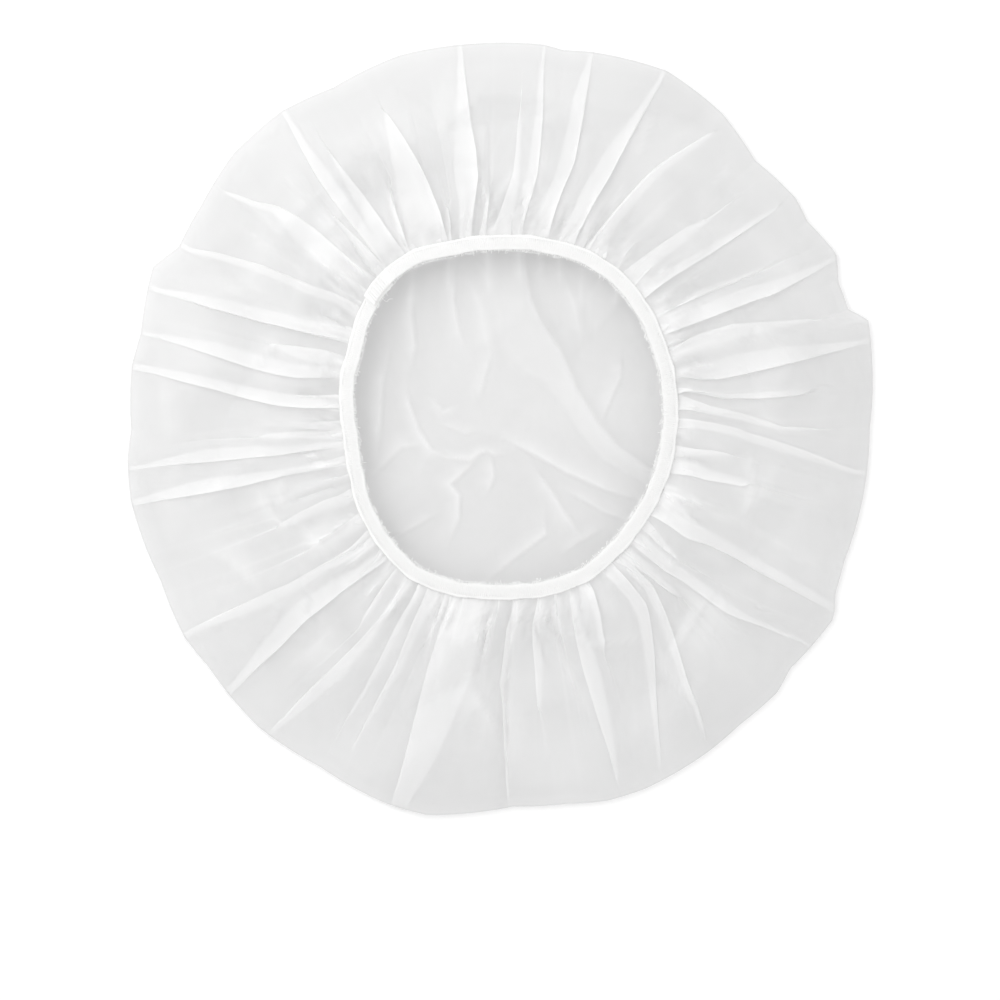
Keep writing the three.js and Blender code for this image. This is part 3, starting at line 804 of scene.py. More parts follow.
@dataclass(frozen=True)
class SpunThread:
    """White spun sewing thread, matt with a fine twist.

    Attributes:
        colour: Colour of the thread.
        shade: Colour between its plies.
        roughness: Least and greatest roughness.
    """

    colour: Colour = (0.96, 0.96, 0.955, 1.0)
    shade: Colour = (0.9, 0.9, 0.9, 1.0)
    roughness: tuple[float, float] = (0.65, 0.85)

    def material(self) -> bpy.types.Material:
        """Makes the threads' material.

        Returns:
            The material.
        """
        board = NodeBoard("spun_thread")
        place = board.add("ShaderNodeTexCoord").outputs["Object"]
        twist = board.add("ShaderNodeTexNoise", Vector=place, Scale=5200.0, Detail=2.0).outputs["Fac"]
        ply = board.add("ShaderNodeBump", Height=twist, Strength=0.4, Distance=0.0001)
        surface = board.add(
            "ShaderNodeBsdfPrincipled",
            Base_Color=board.blend(board.spread(twist, 0.0, 0.6), self.colour, self.shade),
            Roughness=board.spread(twist, *self.roughness),
            Normal=ply.outputs["Normal"],
            Specular_IOR_Level=0.25,
        )
        return board.finish(surface)


@dataclass(frozen=True)
class PaleFloor:
    """A pale floor that looks white where nothing lies on it and keeps the cap's shadow.

    Attributes:
        colour: Grey level that lights and shades the cap.
        lift: Light added where the floor is looked at directly.
    """

    colour: float = 0.7
    lift: float = 0.34

    def material(self) -> bpy.types.Material:
        """Makes the floor's material.

        Returns:
            The material.
        """
        board = NodeBoard("pale_floor")
        path = board.add("ShaderNodeLightPath").outputs
        mirrored = board.math("MAXIMUM", path["Is Glossy Ray"], path["Is Transmission Ray"])
        seen = board.math("MAXIMUM", path["Is Camera Ray"], mirrored)
        bare = board.math("LESS_THAN", path["Transparent Depth"], 0.5)
        level = board.math("MULTIPLY", board.math("MULTIPLY", seen, bare), self.lift)
        paint = board.add("ShaderNodeBsdfDiffuse", Color=(self.colour, self.colour, self.colour, 1.0))
        glow = board.add("ShaderNodeEmission", Strength=level)
        both = board.add("ShaderNodeAddShader")
        board.feed(both.inputs[0], paint.outputs[0])
        board.feed(both.inputs[1], glow.outputs[0])
        return board.finish(both)


@dataclass
class ElasticTape:
    """The elastic tape round the mouth, ribbed across, with its upper end lapped over its lower end.

    Attributes:
        outline: Plan lines of the cap.
        finish: Finish of the tape.
        bottom: Height of the tape's under side.
        width: Width of the tape.
        thickness: Thickness of the tape.
        edge_round: Rounding of its edges.
        edge_bevel: How far the rounding's middle point lies in from both faces.
        shoulder: Width of the upper face's level part beside the rounding.
        edge_shade: Width of the strip along each edge that has painted shade.
        join_angle: Angle of the lapped join.
        lap_length: Length over which the ends lie on each other.
        lap_ramp: Length over which the upper end climbs.
        clearance: Gap between the lapped ends.
        lap_skew: How far each end lies out of line at the join.
        ribs: Cross ribs round the mouth.
        rib_depth: Depth of the ribs.
        roughness: Share by which the ribs and chance change the tape's width.
        seed: Start of the chance numbers for its rough edges.
    """

    outline: CapOutline
    finish: WovenElastic
    bottom: float
    width: float = 5.4
    thickness: float = 1.0
    edge_round: float = 0.3
    edge_bevel: float = 0.09
    shoulder: float = 0.12
    edge_shade: float = 0.9
    join_angle: float = 131.0
    lap_length: float = 10.0
    lap_ramp: float = 14.0
    clearance: float = 0.1
    lap_skew: float = 0.7
    ribs: int = 548
    rib_depth: float = 0.14
    roughness: float = 0.02
    seed: int = 5

    def turn_over(self, length: float) -> float:
        """The angle that covers a length along the tape."""
        return math.degrees(length / self.outline.mouth_mean)

    @property
    def start(self) -> float:
        """Angle of the tape's lower end."""
        return self.join_angle - self.turn_over(self.lap_length) / 2

    @property
    def end(self) -> float:
        """Angle of the tape's upper end, past a full turn."""
        return self.join_angle + FULL_TURN + self.turn_over(self.lap_length) / 2

    def lap_rise(self, angle: Array) -> Array:
        """How far the tape is raised where it climbs over its lower end.

        Args:
            angle: Angles along the tape.

        Returns:
            The rise at each angle.
        """
        over = self.start + FULL_TURN
        ramp = self.turn_over(self.lap_ramp)
        return ease((angle - over + ramp) / ramp) * (self.thickness + self.clearance)

    def lap_shift(self, angle: Array) -> Array:
        """How far the tape's ends lie out of line at the join.

        Args:
            angle: Angles along the tape.

        Returns:
            The distance out at each angle.
        """
        reach = self.turn_over(self.lap_ramp)
        lower = ease((self.start + reach - angle) / reach)
        upper = ease((angle - self.end + reach) / reach)
        return self.lap_skew * (upper - lower)

    def top(self, angle: Array) -> Array:
        """Height of the tape's upper face at an angle along it."""
        return self.bottom + self.thickness + self.lap_rise(angle)

    def section(self) -> Array:
        """Draws the tape's section.

        Returns:
            Its points, as distances out and up from its middle.
        """
        half = self.width / 2
        rise = self.thickness / 2
        flat = half - self.edge_round
        side = rise - self.edge_round
        bevel = (half - self.edge_bevel, rise - self.edge_bevel)
        upper = [(half, side), bevel, (flat, rise), (flat - self.shoulder, rise)]
        face = [(flat * share, rise) for share in (0.6, 0.2, -0.2, -0.6)]
        mirrored = [(-out, up) for out, up in reversed(upper)]
        lower = [(-half, -side), (-flat, -rise), (flat, -rise), (half, -side)]
        return np.array(upper + face + mirrored + lower)

    def wander(self, angle: Array) -> Array:
        """How far the tape lies out of its line at an angle along it."""
        waves = 0.14 * np.sin(np.radians(angle * 23)) + 0.1 * np.sin(np.radians(angle * 41 + 30))
        return waves + self.lap_shift(angle)

    def build(self) -> bpy.types.Object:
        """Makes the tape and puts it on the mouth's body.

        Returns:
            The tape.
        """
        per_rib = 4
        steps = per_rib * self.ribs
        angle = np.linspace(self.start, self.end, steps + 1)
        section = self.section()
        rib = np.cos(np.arange(steps + 1) * 2 * math.pi / per_rib)
        chance = np.random.default_rng(self.seed).normal(0, self.roughness, steps + 1)
        rough = 1 + self.roughness * rib + chance
        dip = (rib[:, None] - 1) * self.rib_depth / 2
        out = section[None, :, 0] * rough[:, None] + self.wander(angle)[:, None]
        up = section[None, :, 1] + np.where(section[:, 1] > 0, 1, 0)[None] * dip
        middle = self.bottom + self.thickness / 2 + self.lap_rise(angle)
        grid = polar(angle[:, None], self.outline.mouth(angle)[:, None] + out, middle[:, None] + up)
        sides = len(section)
        faces: Faces = [tuple(range(sides)), tuple(reversed(range(steps * sides, (steps + 1) * sides)))]
        for step in range(steps):
            for side in range(sides):
                a = step * sides + side
                b = step * sides + (side + 1) % sides
                faces.append((a, a + sides, b + sides, b))
        tape = make_piece("elastic_tape", grid.reshape(-1, 3), faces, self.finish.material())
        # Painted shade at the tape's edges, rising to 1 at each edge
        inset = self.width / 2 - np.abs(section[:, 0])
        edge_shade = np.tile(np.clip(1 - inset / self.edge_shade, 0, 1), steps + 1)
        set_values(tape, WovenElastic.EDGE_SHADE, edge_shade)
        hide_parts("elastic_band")
        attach(tape, Body.MOUTH.value)
        return tape


@dataclass
class Film:
    """The sheet of film: crown, rim fold, pleated skirt and the gathered edge under the tape.

    Attributes:
        SHARE_SCALE: Degrees round the cap that are about as long as the whole way from rim to seam.
        outline: Plan lines of the cap.
        finish: Finish of the film.
        tape: The tape that covers the film's edge.
        pleats: Knife pleats of the skirt, in order of angle.
        skirt_creases: Creases across the skirt.
        main_fold: The broad fold of the crown.
        crown_creases: Creases of the crown.
        flat_size: Diameter of the sheet before it was gathered; not used.
        crown_level: Height of the crown's film over the floor.
        crown_room: Greatest height of the crown's creases and crumples.
        rim_depth: How far the rim's fold reaches in from its outer edge.
        rim_rise: How far the crown leaves the floor on its way to the fold.
        rim_edge: Height of the fold's sharp outer edge.
        rim_height: Height of the skirt where it leaves the fold.
        rim_steps: Rows of the fold, as share of its depth, way from foot (-1) to top (1) and share of the
            painted fold shade.
        levels: Height of the skirt between pleats, as share of the way from rim to seam and height.
        seam_margin: Flat film outside the tape.
        tape_gap: Least gap between the film's middle and the tape.
        ragged: Greatest unevenness of the cut edge.
        fold_share: Share of the room between two pleats that half a lap takes up.
        lap_slip: Slip along a row for a lap of one millimetre.
        panel_slip: Slip along a row for a panel of one millimetre.
        panel_sag: How far a panel sags between two raised edges, as a share of the lower edge.
        lap_rise: Height of a narrow pleat, and what each millimetre of its lap adds.
        widest_lap: Lap beyond which a pleat rises no further.
        gathers: Small gathers round the mouth.
        streak_count: Thin chance creases of the skirt.
        line_count: Thin gather lines round the mouth.
        line_start: How far inside the seam a gather line starts.
        crumples_around: Crumples in each row round the skirt.
        crumple_rows: These rows, as share of the way in, spread of height and share of a border row.
        crown_crumples: Crumples of the crown.
        columns: Columns of the skirt's mesh.
        outer_share: Share of the way in that the skirt's wider rows cover.
        outer_rows: Number of the wider rows.
        inner_rows: Number of the closer rows from there to the seam.
        sharp_from: Least angle of a sharp fold.
        whitening: How far a crease of one millimetre whitens the film; a valley takes haze away instead, a
            painted shade.
        whitening_power: How closely the whitening keeps to a crease's line.
        crown_press: Share of the crown creases' rise that is left after it was laid flat.
        crown_whitening: Share of the crown creases' whitening that is left.
        skirt_whitening: Share of the skirt creases' whitening that is left.
        haze: Greatest whitening of a flat crumple.
        seed: Start of the chance numbers for crumples and the ragged edge.
    """

    SHARE_SCALE: ClassVar[float] = 60.0

    outline: CapOutline
    finish: FrostedFilm
    tape: ElasticTape
    pleats: tuple[Pleat, ...] = PLEATS
    skirt_creases: tuple[Crease, ...] = SKIRT_CREASES
    main_fold: SoftFold = MAIN_FOLD
    crown_creases: tuple[Crease, ...] = CROWN_CREASES
    flat_size: float = 430.0
    crown_level: float = 0.15
    crown_room: float = 3.4
    rim_depth: float = 4.5
    rim_rise: float = 0.1
    rim_edge: float = 1.1
    rim_height: float = 3.8
    rim_steps: tuple[tuple[float, float, float], ...] = (
        (0.6, -0.7, 0.0), (0.25, -0.35, 0.2), (0.03, -0.1, 1.0),
        (0.03, 0.1, 1.0), (0.22, 0.28, 0.0), (0.62, 0.65, 0.0),
    )
    levels: Line = ((0.1, 6.0), (0.25, 8.2), (0.45, 10.0), (0.7, 11.1), (0.85, 11.4), (1.0, 11.4))
    seam_margin: float = 1.0
    tape_gap: float = 0.15
    ragged: float = 1.3
    fold_share: float = 0.2
    lap_slip: float = 0.545
    panel_slip: float = 0.4
    panel_sag: float = 0.3
    lap_rise: tuple[float, float] = (0.8, 0.24)
    widest_lap: float = 8.0
    gathers: int = 112
    streak_count: int = 120
    line_count: int = 190
    line_start: float = 7.0
    crumples_around: int = 38
    crumple_rows: tuple[tuple[float, float, float | None], ...] = (
        (0.05, 0.1, -0.2), (0.24, 1.1, None), (0.42, 1.5, None),
        (0.6, 1.5, None), (0.78, 1.1, None), (0.95, 0.1, 1.2),
    )
    crown_crumples: int = 150
    columns: int = 1216
    outer_share: float = 0.36
    outer_rows: int = 11
    inner_rows: int = 29
    sharp_from: float = 45.0
    whitening: float = 0.38
    whitening_power: float = 1.6
    crown_press: float = 0.14
    crown_whitening: float = 0.75
    skirt_whitening: float = 0.7
    haze: float = 0.3
    seed: int = 7

    def __post_init__(self) -> None:
        """Places the columns and the rows of the skirt."""
        self.turn = np.arange(self.columns) * FULL_TURN / self.columns
        outer = np.linspace(0, self.outer_share, self.outer_rows)
        inner = np.linspace(self.outer_share, 1.0, self.inner_rows)[1:]
        self.across = np.concatenate([outer, inner])
        self.rng = np.random.default_rng(self.seed)
        self.middles, self.laps = self.pleat_lines()

    def seam(self, angle: Array) -> Array:
        """Plan radius where the skirt meets the flat film outside the tape."""
        return self.outline.mouth(angle) + self.tape.width / 2 + self.seam_margin

    def rim_inside(self, angle: Array) -> Array:
        """Plan radius of the inner side of the rim's fold."""
        return self.outline.rim(angle) - self.rim_depth

    def pleat_lines(self) -> tuple[Array, Array]:
        """Reads the pleats along the skirt's rows.

        Returns:
            Angles of the pleats' middles and widths of their laps, for each row and pleat.
        """
        middles = []
        laps = []
        for pleat in self.pleats:
            start = self.rim_inside(pleat.middle(np.array(pleat.line[0][1])))
            end = self.seam(pleat.middle(np.array(pleat.line[-1][1])))
            radius = start + (end - start) * self.across
            middles.append(pleat.middle(radius))
            laps.append(pleat.lap(radius))
        return self.keep_apart(np.array(middles).T), np.array(laps).T

    @staticmethod
    def keep_apart(middles: Array, least: float = 3.0, passes: int = 60) -> Array:
        """Pushes neighbouring pleats apart in each row until they have room.

        Args:
            middles: Angles for each row and pleat.
            least: Least angle between two neighbours.
            passes: How often the neighbours are pushed.

        Returns:
            The angles after pushing.
        """
        placed = middles.copy()
        for _ in range(passes):
            gap = np.roll(placed, -1, axis=1) - placed
            gap[:, -1] += FULL_TURN
            push = np.clip(least - gap, 0, None) / 4
            placed -= push
            placed += np.roll(push, 1, axis=1)
        return placed

    def skirt(self) -> tuple[Array, Array]:
        """Lays out the skirt, a row for each share of the way from rim to seam.

        Returns:
            Its grid of points, and how far the film is whitened at each.
        """
        start = self.middles[0]
        knots = np.concatenate([start - FULL_TURN, start, start + FULL_TURN])
        grid = []
        turns = []
        whites = []
        for share, middle, lap in zip(self.across.tolist(), self.middles, self.laps):
            values = np.concatenate([middle - FULL_TURN, middle, middle + FULL_TURN])
            leaning = np.interp(self.turn, knots, values)
            radius = self.between(leaning, share)
            slip = self.pleat_slip(self.turn, middle, lap, radius)
            small_slip, small_rise, white = self.gathered(radius, share)
            turn = leaning + np.degrees((slip + small_slip) / radius)
            rise = self.pleat_rise(self.turn, lap, share) + small_rise
            grid.append(polar(turn, self.between(turn, share), self.level(share) + rise))
            turns.append(turn)
            whites.append(white)
        return self.creased(np.array(grid), np.array(turns), np.array(whites))

    def between(self, angle: Array, share: float) -> Array:
        """Plan radius at an angle and a share of the way from the rim's fold to the seam."""
        rim = self.rim_inside(angle)
        return rim + (self.seam(angle) - rim) * share

    def level(self, share: float) -> float:
        """Height of the skirt between pleats at a share of the way from rim to seam."""
        shares, heights = zip((0.0, self.rim_height), *self.levels)
        return float(np.interp(share, shares, heights))

    def pleat_slip(self, turn: Array, middles: Array, laps: Array, radius: Array) -> Array:
        """How far the pleats carry the film along a row.

        Args:
            turn: Angle of each column at the rim.
            middles: Angles of the pleats' middles in this row.
            laps: Widths of the pleats' laps in this row.
            radius: Plan radius of each column.

        Returns:
            The slip along the row, for each column.
        """
        start = self.middles[0]
        slip = np.zeros(len(turn))
        room = np.roll(start, -1) - start
        room[-1] += FULL_TURN
        space = np.roll(middles, -1) - middles
        space[-1] += FULL_TURN
        for i in range(len(start)):
            offset = (turn - start[i] + FULL_TURN / 2) % FULL_TURN - FULL_TURN / 2
            place = offset / np.where(offset > 0, room[i], room[i - 1]) * 2
            width = np.radians((space[i] + space[i - 1]) / 4) * radius
            reach = (self.lap_slip * laps[i] + self.panel_slip * width) * min(1.0, laps[i])
            slip += np.where(np.abs(place) < 1, -reach * np.sin(math.pi * place), 0)
        return slip

    def pleat_rise(self, turn: Array, laps: Array, share: float) -> Array:
        """Height of the pleated film in a row, in panels that fall from folded edges to the next foot.

        Args:
            turn: Angle of each column at the rim.
            laps: Widths of the pleats' laps in this row.
            share: The row's share of the way from rim to seam.

        Returns:
            The rise, for each column.
        """
        fold = self.fold_share
        start = self.middles[0]
        narrow, wider = self.lap_rise
        # Pleats grow in from the rim and are pressed flat again beside the tape
        grown = 0.15 + 0.85 * step_up(share, 0.0, 0.3)
        pressed = 1 - 0.8 * step_up(share, 0.92, 0.08)
        tall = (narrow + wider * np.minimum(laps, self.widest_lap)) * np.minimum(1, laps) * grown * pressed
        side = np.array([pleat.side.value for pleat in self.pleats])
        before = (np.searchsorted(start, turn, side="right") - 1) % len(start)
        after = (before + 1) % len(start)
        room = (start[after] - start[before]) % FULL_TURN
        place = ((turn - start[before]) % FULL_TURN) / room
        left = np.where(side[before] < 0, tall[before], 0)
        right = np.where(side[after] > 0, tall[after], 0)
        along = np.clip((place - fold) / (1 - 2 * fold), 0, 1)
        sag = self.panel_sag * np.minimum(left, right) * np.sin(math.pi * along)
        panel = left + (right - left) * along - sag
        near = np.clip((fold - place * side[before]) / (2 * fold), 0, 1) ** 3 * tall[before]
        far = np.clip((fold + (1 - place) * side[after]) / (2 * fold), 0, 1) ** 3 * tall[after]
        return np.where(place < fold, near, np.where(place > 1 - fold, far, panel))

    def gathered(self, radius: Array, share: float) -> tuple[Array, Array, Array]:
        """Slip, rise and whitening of the small gathers close to the mouth, with painted shade in the gaps
        between them.

        Args:
            radius: Plan radius of each column.
            share: The row's share of the way from rim to seam.

        Returns:
            The three values for each column.
        """
        turn = np.radians(self.turn)
        away = 1 - share
        # Waves with uneven counts, so that the gathers' length and strength never fall into step
        length = 0.14 + 0.05 * np.sin(turn * 9 + 1) + 0.05 * np.sin(turn * 23 + 2)
        strong = 0.65 + 0.35 * np.sin(turn * 17 + 0.3) * np.sin(turn * 29 + 1.1)
        fine_length = 0.1 + 0.04 * np.sin(turn * 19)
        fine_strong = 0.6 + 0.4 * np.sin(turn * 37 + 2)
        phase = turn * self.gathers + 1.8 * np.sin(turn * 7) + 1.5 * np.sin(turn * 13 + 0.7)
        fine_phase = turn * self.gathers * 1.75 + 2.2 * np.sin(turn * 11 + 1)
        fade = np.exp(-away / length) * strong
        fine = np.exp(-away / fine_length) * fine_strong
        drawn = np.exp(-away / (1.7 * length)) * strong
        crest = np.cos(phase - 0.9)
        fine_crest = np.cos(fine_phase - 0.9)
        pitch = 2 * math.pi * radius / self.gathers
        pressed = 1 - 0.7 * step_up(share, 0.9, 0.1)
        slip = -pitch * (0.5 * fade * np.sin(phase) + 0.3 * fine * np.sin(fine_phase))
        rise = pressed * (1.2 * fade * (1 + crest) + 0.8 * fine * (1 + fine_crest))
        # Crests are whitened; the gaps between gathers get less haze, a painted shade
        white = drawn * (0.45 * np.clip(crest, 0, 1) ** 5 - 0.12 * np.clip(-crest, 0, 1))
        return slip, rise, white + 0.3 * fine * np.clip(fine_crest, 0, 1) ** 3

    def facets(self) -> Facets:
        """Lays flat crumples over the skirt by chance.

        Returns:
            The crumples, over angle and scaled share of the way from rim to seam.
        """
        around = self.crumples_around
        spots = []
        heights = []
        hazes = []
        for share, deep, border in self.crumple_rows:
            places = (np.arange(around) + self.rng.uniform(0.1, 0.9, around)) * FULL_TURN / around
            shares = share + self.rng.uniform(-0.05, 0.05, around)
            lift = self.rng.normal(0, deep, around)
            haze = self.rng.uniform(0, self.haze, around)
            rows = [shares] if border is None else [shares, np.full(around, border)]
            for turn in (-FULL_TURN, 0, FULL_TURN):
                for row in rows:
                    spots.append(np.stack([places + turn, row * self.SHARE_SCALE], axis=-1))
                    heights.append(lift)
                    hazes.append(haze)
        return Facets(np.vstack(spots), np.concatenate(heights), np.concatenate(hazes))

    @staticmethod
    def leaning_line(angle: float, lean: float, start: float, end: float) -> Line:
        """Plan line between two radii that turns by a lean on its way."""
        line = polar(np.array([angle, angle + lean]), np.array([start, end]), 0.0)
        return tuple((float(x), float(y)) for x, y, _ in line)

    def streaks(self) -> list[Crease]:
        """Lays thin creases over the skirt by chance, most of them running in towards the mouth.

        Returns:
            The creases, each with a steep flank and a wide one.
        """
        creases = []
        for _ in range(self.streak_count):
            angle = self.rng.uniform(0, FULL_TURN)
            outer = self.rng.uniform(82, 130)
            length = self.rng.uniform(14, 46)
            lean = math.degrees(self.rng.normal(0, 0.09) * length / outer)
            line = self.leaning_line(angle, lean, outer, max(outer - length, 68))
            rise = self.rng.uniform(0.15, 0.6)
            flanks = [self.rng.uniform(1.1, 1.9), self.rng.uniform(4, 11)]
            creases.append(Crease(line, rise, *self.rng.permutation(flanks).tolist()))
        return creases

    def gather_lines(self) -> list[Crease]:
        """Lays thin lines by chance that run out from under the tape, ridges and some valleys.

        Returns:
            The lines as creases.
        """
        rng = np.random.default_rng(self.seed + 1)
        creases = []
        for _ in range(self.line_count):
            angle = rng.uniform(0, FULL_TURN)
            inner = float(self.seam(np.array(angle))) - self.line_start
            length = 14 + 24 * rng.uniform(0, 1) ** 2
            lean = math.degrees(rng.normal(0, 0.07) * length / inner)
            line = self.leaning_line(angle, lean, inner, inner + length)
            # About a third are valleys, which take haze away, a painted shade
            rise = float(rng.uniform(0.5, 1.3) * rng.choice([1, 1, -1]))
            flanks = [rng.uniform(0.7, 1.0), rng.uniform(1.2, 2.8)]
            creases.append(Crease(line, rise, *rng.permutation(flanks).tolist()))
        return creases

    def creased(self, grid: Array, turns: Array, drawn: Array) -> tuple[Array, Array]:
        """The skirt's grid with its crumples and creases pressed in.

        Args:
            grid: Points of the skirt.
            turns: Their angles.
            drawn: How far the small gathers whiten the film at each, below zero for the painted shade in
                their gaps.

        Returns:
            The points with their new heights, and how far the film is whitened at each.
        """
        shaped = grid.copy()
        shares = np.broadcast_to(self.across[:, None] * self.SHARE_SCALE, turns.shape)
        crumples, haze = self.facets().press(np.stack([turns, shares], axis=-1))
        shaped[:, :, 2] += crumples
        # Creases fade out at the rim and are pressed flat beside the tape
        kept = ease(self.across / 0.15) * (1 - 0.9 * ease((self.across - 0.88) / 0.12))
        creases = list(self.skirt_creases) + self.streaks() + self.gather_lines()
        height, white = self.pressed(grid[:, :, :2], creases)
        shaped[:, :, 2] += height * kept[:, None]
        return shaped, np.clip(self.skirt_whitening * white + haze + drawn, 0, 1)

    def pressed(self, plan: Array, creases: Iterable[Crease]) -> tuple[Array, Array]:
        """Presses creases into the film at plan points.

        Args:
            plan: Points, the last axis holding x and y.
            creases: The creases.

        Returns:
            The added height at each point, and how far the film is whitened there, below zero in valleys,
            where less haze is a painted shade.
        """
        height = np.zeros(plan.shape[:-1])
        white = np.zeros(plan.shape[:-1])
        for crease in creases:
            profile = crease.profile(plan)
            height += crease.rise * profile
            # Ridges whiten the film; valleys, with their rise below zero, take haze away, a painted shade
            white += crease.rise * profile**self.whitening_power
        return height, np.clip(self.whitening * white, -1, 1)

    def edge_rows(self, seam_row: Array) -> Array:
        """Lays the film on under the tape, from the seam to the ragged cut edge.

        Args:
            seam_row: The skirt's last row.

        Returns:
            The rows that follow it.
        """
        turn = np.degrees(np.arctan2(seam_row[:, 1], seam_row[:, 0]))
        chance = self.rng.uniform(0.0, 1.0, self.columns)
        uneven = (chance + np.roll(chance, 1) + np.roll(chance, 2)) / 3
        end = self.seam_margin + self.tape.width
        height = np.minimum(seam_row[:, 2], self.tape.bottom - self.tape_gap)
        steps = (self.seam_margin, 0.5 * end, end)
        rows = [polar(turn, self.seam(turn) - inward, height) for inward in steps]
        rows.append(polar(turn, self.seam(turn) - end - self.ragged * uneven, height))
        return np.array(rows)

    def rim_rows(self) -> Array:
        """Lays the rim's fold, from below its sharp edge to above it, with the pleats that run over it.

        Returns:
            The rows of the fold.
        """
        radius = self.outline.rim(self.turn)
        slip = self.pleat_slip(self.turn, self.middles[0], self.laps[0], radius)
        turn = self.turn + np.degrees(slip / radius)
        lift = self.pleat_rise(self.turn, self.laps[0], 0.0)
        outside = self.outline.rim(turn)
        rise = self.rim_height - self.rim_edge
        drop = self.rim_edge - self.crown_level - self.rim_rise
        rows = []
        for inward, way, _ in self.rim_steps:
            height = self.rim_edge + way * (rise if way > 0 else drop)
            raised = lift * (0.6 + 0.4 * way)
            rows.append(polar(turn, outside - inward * self.rim_depth, height + raised))
        return np.array(rows)

    def crown_rings(self) -> tuple[list[Array], list[Array]]:
        """Lays the crown in rings from its middle out, with closer points further out.

        Returns:
            The rings, each with its own number of points, and how far the film is whitened at each point.
        """
        edge = self.outline.rim_mean - self.rim_depth
        level_share = 0.7
        rising_share = 0.3
        pleat_share = 0.3
        # Radius of each ring, and what part of the columns it has
        steps = [(1.5, 32), (3.0, 32), (4.5, 16), (6.5, 16), (8.5, 16)]
        steps += [(radius, 8) for radius in np.arange(10, 19.5, 1.0)]
        steps += [(radius, 4) for radius in np.arange(20, 39.5, 0.8)]
        steps += [(radius, 2) for radius in np.arange(40, 67, 0.8)]
        steps += [(radius, 2) for radius in np.linspace(69, edge - 4, 12)]
        steps += [(edge, 1)]
        rings = []
        whites = []
        for radius, part in steps:
            count = self.columns // part
            turn = np.arange(count) * FULL_TURN / count
            share = float(radius) / edge
            laps = self.laps[0] * step_up(share, level_share, rising_share)
            slip = self.pleat_slip(turn, self.middles[0], laps, np.full(count, radius))
            lift = self.pleat_rise(turn, laps, 0.0) * pleat_share
            turn = turn + np.degrees(slip / radius)
            curve = self.rim_rise * max(0.0, (share - level_share) / rising_share) ** 2
            ring = polar(turn, self.rim_inside(turn) * share, self.crown_level + curve + lift)
            height, white = self.crown_height(ring[:, :2], share)
            ring[:, 2] += height
            rings.append(ring)
            whites.append(white)
        return rings, whites

    def crown_height(self, plan: Array, share: float) -> tuple[Array, Array]:
        """Presses the crown's creases and crumples into a ring, fading at the rim.

        Args:
            plan: The ring's points, the last axis holding x and y.
            share: The ring's share of the way from the middle to the rim.

        Returns:
            The added height at each point, and how far the film is whitened there.
        """
        height, white = self.pressed(plan, self.crown_creases)
        crumples, haze = self.crown_facets.press(plan)
        # The main fold adds painted light on its long flank and painted shade on its steep one
        fold, pale = self.main_fold.press(plan)
        fade = 1 - step_up(share, 0.86, 0.14)
        raised = np.clip(crumples + self.crown_press * height, 0, self.crown_room) + fold
        return raised * fade, np.clip(self.crown_whitening * white + haze + pale, 0, 1) * fade

    def lay_crown(self) -> None:
        """Places the crown's flat crumples by chance, near a spiral and on a ring outside the rim."""
        count = self.crown_crumples
        golden_turn = 137.5
        astray = 5
        tallest = 1.8
        border = 24
        outside = np.arange(border) * FULL_TURN / border
        radius = np.sqrt((np.arange(count) + 0.5) / count) * self.outline.rim_mean
        spiral = polar(np.arange(count) * golden_turn, radius, 0.0)[:, :2]
        spots = spiral + self.rng.uniform(-astray, astray, (count, 2))
        spots = np.vstack([spots, polar(outside, 1.2 * self.outline.rim_mean, 0.0)[:, :2]])
        heights = self.rng.uniform(0, 1, len(spots)) ** 2 * tallest
        self.crown_facets = Facets(spots, heights, self.rng.uniform(0, 0.8 * self.haze, len(spots)))

    def build(self) -> bpy.types.Object:
        """Makes the film and hides the solid that it stands for.

        Returns:
            The film.
        """
        skirt, skirt_white = self.skirt()
        self.lay_crown()
        crown, crown_white = self.crown_rings()
        rim = self.rim_rows()
        edge = self.edge_rows(skirt[-1])
        rings = crown + list(rim) + list(skirt) + list(edge)
        points = np.vstack([crown[0].mean(axis=0, keepdims=True), *rings])
        rim_white = np.tile(skirt_white[0], len(rim))
        edge_white = np.tile(skirt_white[-1], len(edge))
        middle_white = crown_white[0].mean(keepdims=True)
        white = np.concatenate([middle_white, *crown_white, rim_white, skirt_white.ravel(), edge_white])
        first = 1
        inner = len(rings[0])
        faces: Faces = [(0, 1 + (k + 1) % inner, 1 + k) for k in range(inner)]
        for ring, outer in zip(rings, rings[1:]):
            faces += self.bridge(first, len(ring), first + len(ring), len(outer))
            first += len(ring)
        film = make_piece("gathered_film", points, faces, self.finish.material())
        film.data.set_sharp_from_angle(angle=math.radians(self.sharp_from))
        # Painted shade: the rim's sharp fold rows get the film's darker painted grey
        fold = np.zeros(len(points))
        before = 1 + sum(len(ring) for ring in crown)
        fold_shade = [sharp for _, _, sharp in self.rim_steps]
        fold[before:before + rim[:, :, 0].size] = np.repeat(fold_shade, self.columns)
        set_values(film, FrostedFilm.WHITENING_AND_SHADE, white)
        set_values(film, FrostedFilm.FOLD_SHADE, fold)
        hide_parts("film")
        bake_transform(film)
        return film

    @staticmethod
    def bridge(first: int, count: int, next_first: int, next_count: int) -> Faces:
        """Joins two rings, where the outer one has as many points as the inner one or twice as many.

        Args:
            first: Number of the inner ring's first corner.
            count: Points of the inner ring.
            next_first: Number of the outer ring's first corner.
            next_count: Points of the outer ring.

        Returns:
            The faces between them.
        """
        faces: Faces = []
        for k in range(count):
            a = first + k
            b = first + (k + 1) % count
            if count == next_count:
                faces.append((a, b, next_first + (k + 1) % count, next_first + k))
            else:
                c, d, e = (next_first + (2 * k + step) % next_count for step in range(3))
                faces += [(a, d, c), (a, b, d), (b, e, d)]
        return faces


